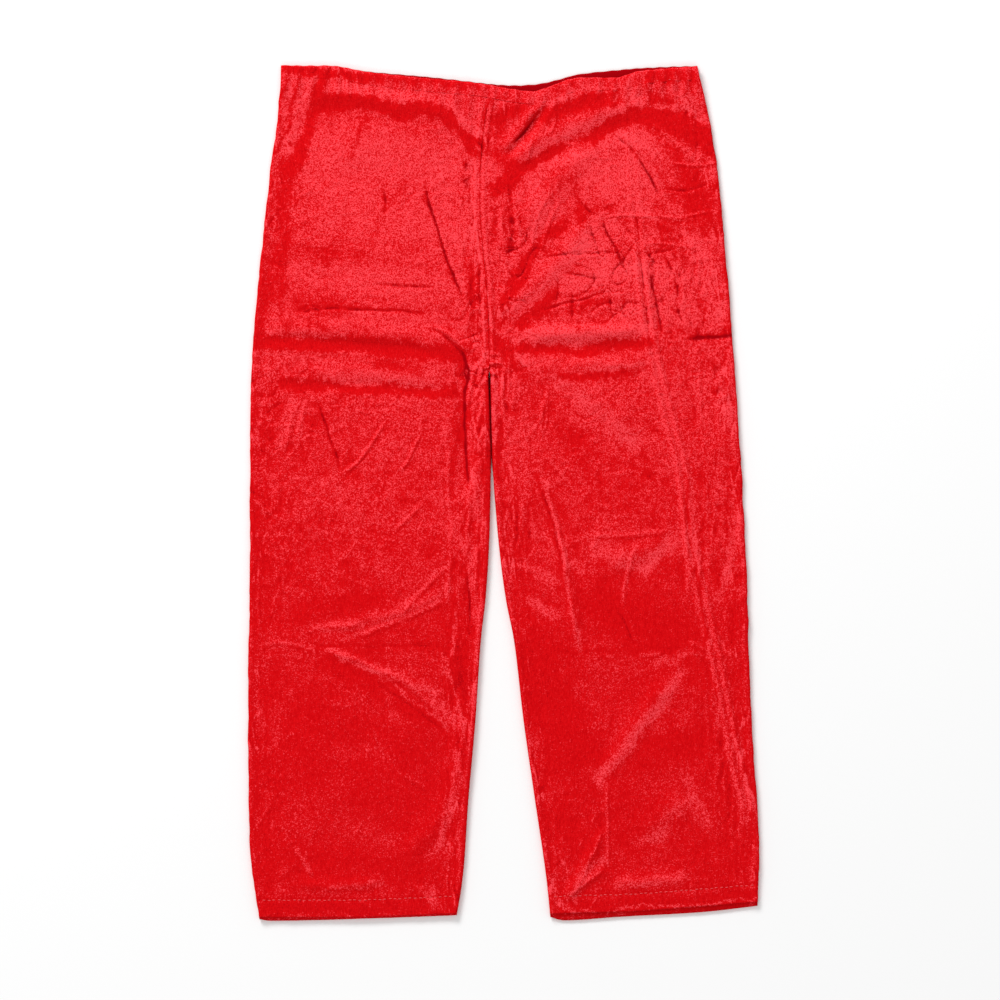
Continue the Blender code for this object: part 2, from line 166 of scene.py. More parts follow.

# Where some of the relief, and the painted light and shade taken from it, starts or ends, down the leg
# or away from the casing or hem
FROM_CASING = (0, 20)
FROM_HEM = (20, 60)
PAINTED_LIGHT_FROM_CASING = (0, 40)
RELIEF_FROM_CASING = (0, 30)
CALM_BELOW = (560, 700)
CRACKS_END = (500, 620)
RIDGES_START = (30, 70)
RIDGES_FULL = (190, 240)
RIDGES_END = (850, 900)

# Mesh spacing across and down a panel: the front shows, the back lies on the floor
SPACING = {"front": (1.85, 1.95), "back": (4.6, 5.0)}
PANEL_ACROSS = 270.0
PANEL_DOWN = 960.0
INSIDE_RATIO = 0.56

# Rows of a panel are closer together over the crushed hips and at the hem
ROW_SHARES = (0.0, 0.62, 0.95, 1.0)
LENGTH_SHARES = (0.0, 0.47, 0.955, 1.0)

# A first guess at a panel's rows, and how often it is set right
GUESS_TOP = 20
GUESS_LENGTH = 975
GUESS_ROUNDS = 4

# Sewing
THREAD = 0.75
HEM_STITCH = 3.9
HEM_STITCH_PITCH = 5.9
HEM_STITCH_INSET = 6
CASING_STITCH = 2.6
CASING_STITCH_PITCH = 3.6
CASING_STITCH_INSET = 5
CASING_STITCH_UP = 1.6
CASING_STITCH_LIFT = 3.25

# The pile's tone with its painted sheen and painted shade: lighter towards the waist, on slopes that
# face the light and on crests, darker in grooves, along rolled edges and on the back casing, and the
# colours it turns between
PAINTED_SHEEN_UPPER = 0.47
PAINTED_SHEEN_LOWER = 0.00
PAINTED_SHEEN_FALL = (330.0, 660.0)
PAINTED_SLOPE_LIGHT = 1.6
PAINTED_PATCH_CONTRAST = 2.1
FIBRE_REACH = 7.0
PAINTED_CREST_LIGHT = 0.35
STEEPEST = 0.4
PAINTED_GROOVE_SHADE = 1.1
PAINTED_SHADE_DARKEST = -0.5
PAINTED_LIGHT_KNEE = 0.55
PAINTED_LIGHT_PAST_KNEE = 0.45
# Painted light on the front casing, and painted shade on the back casing, which lies lower in shadow
CASING_LIGHT = {"front": 0.35, "back": -0.6}
CASING_SHADE = {"front": 0.0, "back": 0.9}
# Painted shade along the rolled edges, and in grooves as deep as the crevice depth
RIM_REACH = 1.3
RIM_SHADE = 0.8
CREVICE_DEPTH = 1.3

# The pile's textures, the nets of lines in it with their painted shade and highlights, and the ranges
# over which its colours change between painted sheen, highlights and shade
Texture = namedtuple("Texture", "scale detail roughness distortion", defaults=[0.5, 0.0])
GRAIN = Texture(520.0, 1.0, 0.5, 0.7)
GRAIN_SHARE = 3.2
CLUMPS = Texture(170.0, 3.0, 0.6, 0.6)
CLUMP_SHARE = 1.1
PILE_FLECKS = Texture(850.0, 1.0, 0.5, 0.3)
PILE_FLECK_SHARE = 5.0
PATCHES = Texture(45.0, 1.0)
RIBS = Texture(900.0, 2.0, 0.6, 0.1)
RIB_STRETCH = (1.0, 0.22, 1.0)
Net = namedtuple("Net", "scale stretch width")
CRACK_NET = Net(96.0, (1.0, 0.6, 1.0), 0.11)
WRINKLE_NET = Net(125.0, (1.0, 0.16, 1.0), 0.17)
# Where a crack's painted highlight lies below it, how dark its painted shade is and how bright its
# highlight
LIP_SHIFT = (0.0003, 0.0012, 0.0)
CRACK_SHADE = 1.1
CRACK_LIP_HIGHLIGHT = 1.2
CALM_SPECKLE = 0.68
CALM_RANGE = (-0.3, 0.4)
PATCH_RANGE = (0.42, 0.62)
RIB_RANGE = (0.35, 0.7)
LIT_RANGE = (0.20, 0.85)
GLINT_RANGE = (0.75, 1.3)
PIT_AND_SHADE_RANGE = (0.55, 2.4)
CREVICE_SHADE_RANGE = (0.15, 1.0)
PILE_BUMP = 0.4
PILE_BUMP_DISTANCE = 0.0012
PILE_ROUGH = (0.85, 0.55)
# The darkest red paints shade in creases and the pile's darkest pits; the lit and glint reds paint sheen
# and highlights
PIT_AND_SHADE_RED = (0.33, 0.0004, 0.0030, 1.0)
DEEP_RED = (0.61, 0.0018, 0.0038, 1.0)
MID_RED = (0.73, 0.0045, 0.0072, 1.0)
LIT_RED = (0.90, 0.036, 0.050, 1.0)
GLINT_RED = (0.97, 0.066, 0.084, 1.0)
SHEEN_RED = (1.0, 0.07, 0.10, 1.0)
PILE_SHADER = {
    "Specular IOR Level": 0.06,
    "Specular Tint": SHEEN_RED,
    "Sheen Weight": 0.25,
    "Sheen Roughness": 0.4,
    "Sheen Tint": SHEEN_RED,
}
THREAD_DARK = (0.80, 0.030, 0.040, 1.0)
THREAD_LIGHT = (0.95, 0.120, 0.140, 1.0)
THREAD_TWIST = Texture(1600.0, 2.0)
THREAD_ROUGH = 0.45
THREAD_BUMP = 0.4
THREAD_BUMP_DISTANCE = 0.0003

# Studio
FLOOR_HALF = 6.0
FLOOR_DOWN = -0.0003
FLOOR_WHITE = (0.96, 0.96, 0.96, 1.0)
FLOOR_ROUGH = 0.95
BACKDROP_WHITE = (1.0, 1.0, 1.0, 1.0)
WORLD_LIGHT = 0.58
KEY_PLACE = (-2.4, 4.9, 3.1)
KEY_SIZE = (3.0, 1.5)
KEY_POWER = 330.0
FILL_PLACE = (0.4, -4.0, 4.0)
FILL_SIZE = (3.0, 2.0)
FILL_POWER = 40.0


def table_of(kind, rows):
    return [kind(*row) for row in rows]


Outseam = namedtuple("Outseam", "down left right")
OUTSEAMS = table_of(Outseam, [
    (0, -261.4, 226.3),
    (28, -262.6, 232.1),
    (63, -264.9, 240.3),
    (110, -272.0, 248.5),
    (204, -282.5, 257.9),
    (298, -291.9, 266.1),
    (392, -296.6, 272.6),
    (485, -297.8, 279.0),
    (626, -297.8, 285.5),
    (720, -300.1, 287.8),
    (814, -299.5, 292.5),
    (907, -297.8, 298.9),
    (954, -293.1, 298.4),
    (1005, -286.0, 296.4),
])

# The centre seam, then the two inseams below the crotch
Centre = namedtuple("Centre", "down middle gap")
CENTRES = table_of(Centre, [
    (0, -14.1, SEAM_GAP),
    (28, -15.2, SEAM_GAP),
    (63, -22.3, SEAM_GAP),
    (110, -27.0, SEAM_GAP),
    (157, -28.1, SEAM_GAP),
    (204, -25.8, SEAM_GAP),
    (251, -20.5, SEAM_GAP),
    (345, -17.4, SEAM_GAP),
    (356, -17.4, SEAM_GAP),
    (364, -17.2, 3.0),
    (376, -17.0, 2.4),
    (438, -15.2, 1.8),
    (485, -14.0, 3.2),
    (532, -12.6, 7.6),
    (579, -11.2, 14.1),
    (626, -9.7, 24.0),
    (673, -7.7, 38.7),
    (767, -5.3, 56.3),
    (860, -2.7, 77.9),
    (954, 0.6, 98.5),
    (1005, -1.0, 112.0),
])

Edge = namedtuple("Edge", "x down")
WAISTS = {
    "front": table_of(Edge, [
        (-261, 0.0), (-206, 0.0), (-155, 8.2), (-83, 15.8), (-36, 19.9), (13, 28.1), (32, 29.8),
        (56, 23.4), (76, 16.4), (90, 14.1), (130, 14.0), (159, 6.4), (195, 2.7), (226, 0.6),
    ]),
    "back": table_of(Edge, [
        (-261, 0.0), (-206, 0.6), (-155, 7.0), (-83, 13.5), (-36, 18.8), (8, 23.0), (38, 21.0),
        (64, 16.0), (87, 10.0), (129, 5.2), (195, 0.6), (226, 0.0),
    ]),
}
HEMS = {
    "front_left": table_of(Edge, [(-287, 997.7), (-181, 997.7), (-122, 995.9), (-55, 993.0)]),
    "front_right": table_of(Edge, [(54, 993.5), (84, 992.4), (136, 991.2), (230, 984.8), (298, 979.5)]),
    "back_left": table_of(Edge, [(-287, 1000.0), (-274, 1001.8), (-149, 998.8), (-55, 995.3)]),
    "back_right": table_of(Edge, [(54, 997.5), (70, 1001.3), (136, 997.1), (230, 991.8), (298, 984.2)]),
}

# Half of the casing's section: down from its top fold, and out from its inner face
CasingPoint = namedtuple("CasingPoint", "down out on_outer on_edge")
CASING_SECTION = table_of(CasingPoint, [
    (0.0, 2.0, 0.0, 1.0),
    (1.2, 3.6, 0.4, 0.8),
    (4.5, BAND_THICK, 1.0, 0.3),
    (15.0, BAND_THICK, 1.0, 0.0),
    (BAND_DEPTH, BAND_THICK, 1.0, 0.0),
    (BAND_DEPTH, 1.4, 0.0, 0.0),
    (8.0, 0.0, 0.0, 0.0),
    (1.2, 0.5, 0.0, 0.8),
])

Patch = namedtuple("Patch", "x down reach_x reach_down")
# Where the pile is cracked into a net of fine lines
CRACKED = table_of(Patch, [
    (128, 245, 56, 70),
    (20, 240, 30, 90),
    (-35, 330, 22, 90),
])
# Where the cloth lies in thin ripples down the leg
RIPPLED = table_of(Patch, [
    (9, 186, 24, 60),
    (56, 157, 16, 40),
    (-30, 403, 14, 90),
    (171, 262, 20, 60),
    (218, 239, 22, 50),
    (-52, 731, 16, 80),
    (230, 579, 24, 70),
    (19, 556, 18, 50),
    (7, 391, 14, 50),
    (48, 415, 12, 40),
    (-44, 570, 18, 90),
])

RidgePoint = namedtuple("RidgePoint", "down x")
RIDGE_LINE = table_of(RidgePoint, [
    (14, 145),
    (181, 156),
    (298, 168),
    (402, 191),
    (474, 209),
    (570, 220),
    (662, 242),
    (825, 275),
    (875, 286),
    (995, 288),
])

# Each row is a line from its first point to its second, how far it bows at its middle, its width
# and its height above the smooth front
Fold = namedtuple("Fold", "x0 down0 x1 down1 bow width height")
FOLDS = table_of(Fold, [
    (41, 36, -6, 101, 6, 8, 3.2),
    (50, 38, 2, 108, 7, 5, -3.0),
    (61, 40, 12, 113, 7, 7, 1.6),
    (-239, 36, -40, 73, 16, 14, 3.0),
    (-260, 141, -75, 66, 73, 13, -1.2),
    (-204, 98, -63, 110, 23, 35, 2.0),
    (5, 116, 159, 42, 9, 11, 3.2),
    (7, 134, 171, 61, 9, 9, -1.2),
    (19, 204, 113, 93, 12, 15, 3.0),
    (-14, 292, 103, 174, -12, 12, 3.0),
    (159, 63, 256, 274, 21, 16, 2.2),
    (-284, 305, -61, 324, 4, 12, 2.4),
    (-291, 321, -54, 340, 4, 7, -2.2),
    (-251, 359, -75, 367, 4, 9, 1.3),
    (-277, 374, -56, 381, 1, 6, -2.0),
    (14, 314, 169, 308, -2, 9, 4.2),
    (23, 332, 171, 327, -2, 7, -2.0),
    (66, 352, 171, 345, -2, 8, 2.2),
    (28, 335, 155, 438, 7, 14, 2.8),
    (-75, 309, -35, 335, 0, 6, 2.4),
    (-53, 331, -52, 509, 5, 6, -2.6),
    (-30, 328, -40, 532, 9, 9, 3.2),
    (-213, 659, -61, 612, -7, 6, 1.6),
    (-218, 680, -82, 732, -2, 6, 1.6),
    (-49, 743, -127, 936, 30, 14, 2.8),
    (-249, 959, -141, 954, -4, 8, 2.2),
    (48, 535, 86, 679, 8, 7, 2.8),
    (117, 579, 192, 551, -7, 11, 2.4),
    (204, 710, 115, 835, -2, 11, 3.4),
    (159, 903, 218, 860, 5, 16, 2.6),
    (127, 957, 218, 952, 0, 8, 2.4),
    (69, 978, 117, 889, -4, 7, 2.8),
    (73, 975, 122, 940, 2, 7, 2.2),
    (260, 356, 263, 462, -5, 11, 2.2),
])

# Narrow creases and their lips, in the same columns
CREASES = table_of(Fold, [
    # Left leg
    (-93, 135, -42, 286, -5, 2, -1.3),
    (-88, 135, -38, 286, -5, 2.2, 0.7),
    (-87, 304, -42, 336, 2, 2, 1.2),
    (-87, 308, -45, 341, 2, 1.8, -0.7),
    (-189, 479, -138, 416, -4, 1.8, 1.5),
    (-218, 392, -191, 478, 1, 1.6, -1.0),
    (-232, 389, -242, 438, 0, 1.6, 0.8),
    (-244, 392, -257, 453, 0, 1.6, 0.8),
    (-204, 474, -188, 518, 0, 1.6, 0.8),
    (-242, 681, -68, 680, 0, 1.4, -0.6),
    (-40, 485, -45, 579, 1, 1.6, 0.9),
    (-30, 509, -35, 626, 1, 1.5, 0.9),
    (-45, 579, -38, 673, 0, 1.5, -0.8),
    (-28, 673, -40, 790, 0, 1.5, 0.9),
    (-35, 696, -45, 814, 0, 1.5, -0.7),
    (-66, 837, -75, 919, 0, 1.5, 0.6),
    (-122, 476, -97, 431, -1, 1.6, 1.3),
    (-128, 544, -93, 513, 0, 1.6, 1.2),
    (-297, 508, -271, 528, 0, 1.8, 1.1),
    (-251, 444, -237, 386, 2, 2.2, 0.6),
    (-204, 284, -87, 290, 0, 2, -0.8),
    (-155, 257, -80, 260, 0, 1.8, -0.7),
    (-239, 288, -192, 285, 1, 2, -0.6),
    (-141, 145, -142, 176, 2, 1.6, -0.7),
    (-169, 668, -117, 648, 0, 1.8, 1.5),
    (-124, 644, -66, 586, 0, 1.6, 1.0),
    (-117, 648, -68, 626, 0, 1.8, 1.2),
    (-239, 666, -166, 654, 2, 1.8, 0.8),
    (-286, 682, -225, 685, 7, 2, 0.8),
    (-206, 685, -120, 717, 0, 1.8, 1.5),
    (-120, 717, -61, 785, 4, 1.8, 1.1),
    (-129, 825, -86, 850, 0, 2, 0.8),
    (-243, 918, -224, 951, 0, 1.8, 1.0),
    (-68, 415, -66, 532, 2, 2.2, 0.7),
    (-61, 532, -67, 638, 1, 2.2, 0.7),
    (-28, 347, -35, 392, 4, 1.8, 0.9),
    (-23, 392, -33, 450, -4, 1.8, 0.8),
    (-40, 474, -30, 532, 2, 1.8, 0.8),
    (-23, 474, -26, 579, 0, 1.6, 0.8),
    (-35, 556, -23, 638, 0, 1.6, 0.7),
    (-30, 649, -28, 743, 0, 1.6, 0.6),
    # Below the casing
    (49, 29, 8, 94, 7, 1.9, -2.0),
    (19, 38, 9, 54, 0, 1.8, 0.9),
    (61, 54, 52, 82, 4, 1.8, 0.9),
    (35, 87, 28, 113, 0, 1.6, 0.9),
    (73, 38, 66, 54, 0, 1.6, 0.7),
    (136, 12, 145, 30, 1, 1.6, 1.0),
    (145, 12, 155, 32, 1, 1.6, 1.0),
    (117, 21, 125, 38, 0, 1.6, 0.7),
    (-61, 23, -49, 40, 0, 1.6, 0.8),
    (-87, 21, -80, 38, 0, 1.6, 0.7),
    (-181, 14, -176, 30, 0, 1.6, 0.6),
    (-213, 9, -218, 28, 0, 1.6, 0.7),
    (202, 16, 211, 35, 0, 1.6, 0.8),
    (223, 14, 237, 40, 2, 1.6, 0.8),
    (-23, 30, -33, 54, 0, 1.6, 0.8),
    # Right hip
    (124, 77, 183, 157, 8, 1.8, -1.2),
    (130, 75, 189, 155, 8, 2, 0.9),
    (162, 63, 230, 120, 4, 2, 0.8),
    (192, 113, 256, 110, -6, 1.6, 0.8),
    (183, 145, 244, 138, -5, 1.6, -0.7),
    (171, 176, 244, 171, -4, 1.6, 0.6),
    (66, 157, 42, 223, -2, 1.8, 0.9),
    (52, 151, 30, 216, -2, 1.6, 0.7),
    (82, 152, 106, 176, 0, 1.6, -0.8),
    (-5, 163, 2, 251, 2, 1.6, 0.8),
    (9, 145, 19, 230, 2, 1.6, 0.7),
    (-5, 251, 19, 309, 2, 1.8, 0.9),
    (113, 179, 178, 176, 2, 1.6, 0.9),
    (45, 224, 138, 220, 1, 1.5, -0.75),
    (68, 242, 117, 250, 0, 1.6, -0.8),
    (101, 183, 116, 246, 0, 1.6, -0.75),
    (162, 218, 183, 237, 1, 1.6, -0.7),
    (63, 244, 61, 279, 0, 1.6, -0.75),
    (40, 286, 122, 264, -1, 1.7, -0.9),
    (79, 263, 81, 302, 0, 1.7, -0.8),
    (124, 256, 127, 298, 0, 1.6, -0.75),
    (151, 157, 161, 220, 0, 1.6, -0.9),
    (159, 213, 170, 317, 1, 1.7, -1.05),
    (166, 230, 184, 317, 2, 1.6, -0.95),
    (115, 183, 129, 216, 0, 1.6, -0.75),
    (204, 256, 209, 302, -2, 1.6, -0.75),
    (165, 223, 202, 215, 1, 1.5, -0.7),
    (183, 216, 206, 274, 4, 1.6, -0.7),
    (202, 218, 209, 295, 5, 1.6, 0.7),
    (159, 209, 230, 216, 2, 1.4, 0.6),
    (209, 321, 297, 312, -1, 2.2, -1.3),
    (174, 274, 218, 319, 4, 1.6, 0.7),
    # Right leg, from the crotch to the hem
    (-5, 307, 21, 359, 5, 2, 1.0),
    (-9, 333, 0, 392, 4, 1.8, 0.9),
    (52, 374, 30, 438, 4, 1.8, 0.8),
    (101, 368, 138, 438, 4, 1.8, 0.8),
    (230, 333, 237, 474, -4, 1.8, 0.8),
    (253, 368, 272, 474, 4, 1.8, 0.7),
    (42, 483, 73, 608, 6, 2, 1.5),
    (70, 597, 89, 689, 1, 1.8, 1.3),
    (39, 485, 69, 608, 6, 1.8, -0.8),
    (91, 550, 199, 544, -4, 1.8, 1.1),
    (155, 559, 138, 634, -2, 1.8, 1.0),
    (21, 562, 28, 600, 0, 1.6, 0.9),
    (218, 485, 225, 579, 0, 1.6, -0.9),
    (209, 509, 218, 626, 0, 1.6, 0.8),
    (131, 635, 152, 678, 1, 1.5, -0.9),
    (218, 673, 234, 696, -1, 1.6, 1.1),
    (61, 570, 91, 556, 0, 1.6, 0.7),
    (138, 626, 165, 696, 0, 1.8, 0.7),
    (218, 673, 237, 687, 0, 1.6, 0.9),
    (159, 691, 188, 687, -2, 1.6, 0.8),
    (121, 838, 121, 938, 1, 2, 1.0),
    (115, 893, 82, 973, 2, 2, 0.8),
    (118, 938, 75, 973, 2, 2, 0.7),
    (218, 954, 230, 995, 0, 2, 0.7),
    (274, 509, 279, 614, 2, 1.8, 0.7),
    (281, 626, 284, 743, 0, 1.6, 0.6),
    # Crotch, and the inseams under it
    (-47, 333, -40, 359, -1, 1.6, -1.3),
    (-40, 352, -45, 385, -1, 1.7, -1.6),
    (-45, 375, -45, 406, 0, 1.7, -1.6),
    (-45, 395, -47, 427, 0, 1.7, -1.5),
    (-47, 415, -45, 457, 1, 1.7, -1.4),
    (-45, 443, -42, 497, 0, 1.7, -1.1),
    (-21, 331, -38, 363, 2, 2, 1.6),
    (-38, 359, -42, 401, 1, 2, 1.4),
    (-25, 340, -32, 373, 2, 1.6, 1.2),
    (-29, 368, -26, 403, 2, 1.6, 1.0),
    (-23, 373, -6, 365, 7, 1.9, 1.9),
    (-25, 366, -5, 358, 7, 1.6, -0.9),
    (-23, 358, -1, 352, 6, 1.9, 1.6),
    (-19, 342, 1, 345, 6, 1.7, 0.8),
    (1, 345, -1, 392, 1, 1.5, 1.2),
    (6, 333, 8, 394, -1, 1.5, 1.0),
    (14, 359, 11, 403, 1, 1.5, 0.8),
    (-15, 306, 2, 325, 1, 1.6, 1.1),
    (2, 321, 28, 353, -2, 1.8, 1.1),
    (-21, 377, -20, 474, -1, 1.7, 1.1),
    (-45, 413, -28, 441, -1, 1.5, 0.8),
    (-41, 429, -26, 457, -1, 1.5, 0.7),
    (-35, 389, -30, 427, 1, 1.5, 0.8),
    (-2, 382, 2, 443, 1, 1.6, 0.9),
    (46, 387, 41, 438, 1, 1.6, 0.8),
    (52, 387, 49, 424, 1, 1.6, 0.8),
    (52, 457, 74, 490, 0, 1.8, 0.9),
    (19, 415, 30, 453, 0, 1.6, 0.7),
    # Left hem, centre seam and left shin
    (-98, 959, -80, 994, 0, 1.8, 0.8),
    (-23, 56, -27, 157, 0, 1.7, -0.9),
    (-27, 152, -29, 230, 0, 1.7, -0.95),
    (-29, 225, -25, 300, 0, 1.7, -0.8),
    (-156, 720, -67, 782, 2, 1.7, -0.75),
    (-284, 579, -288, 673, 0, 1.8, 0.5),
])
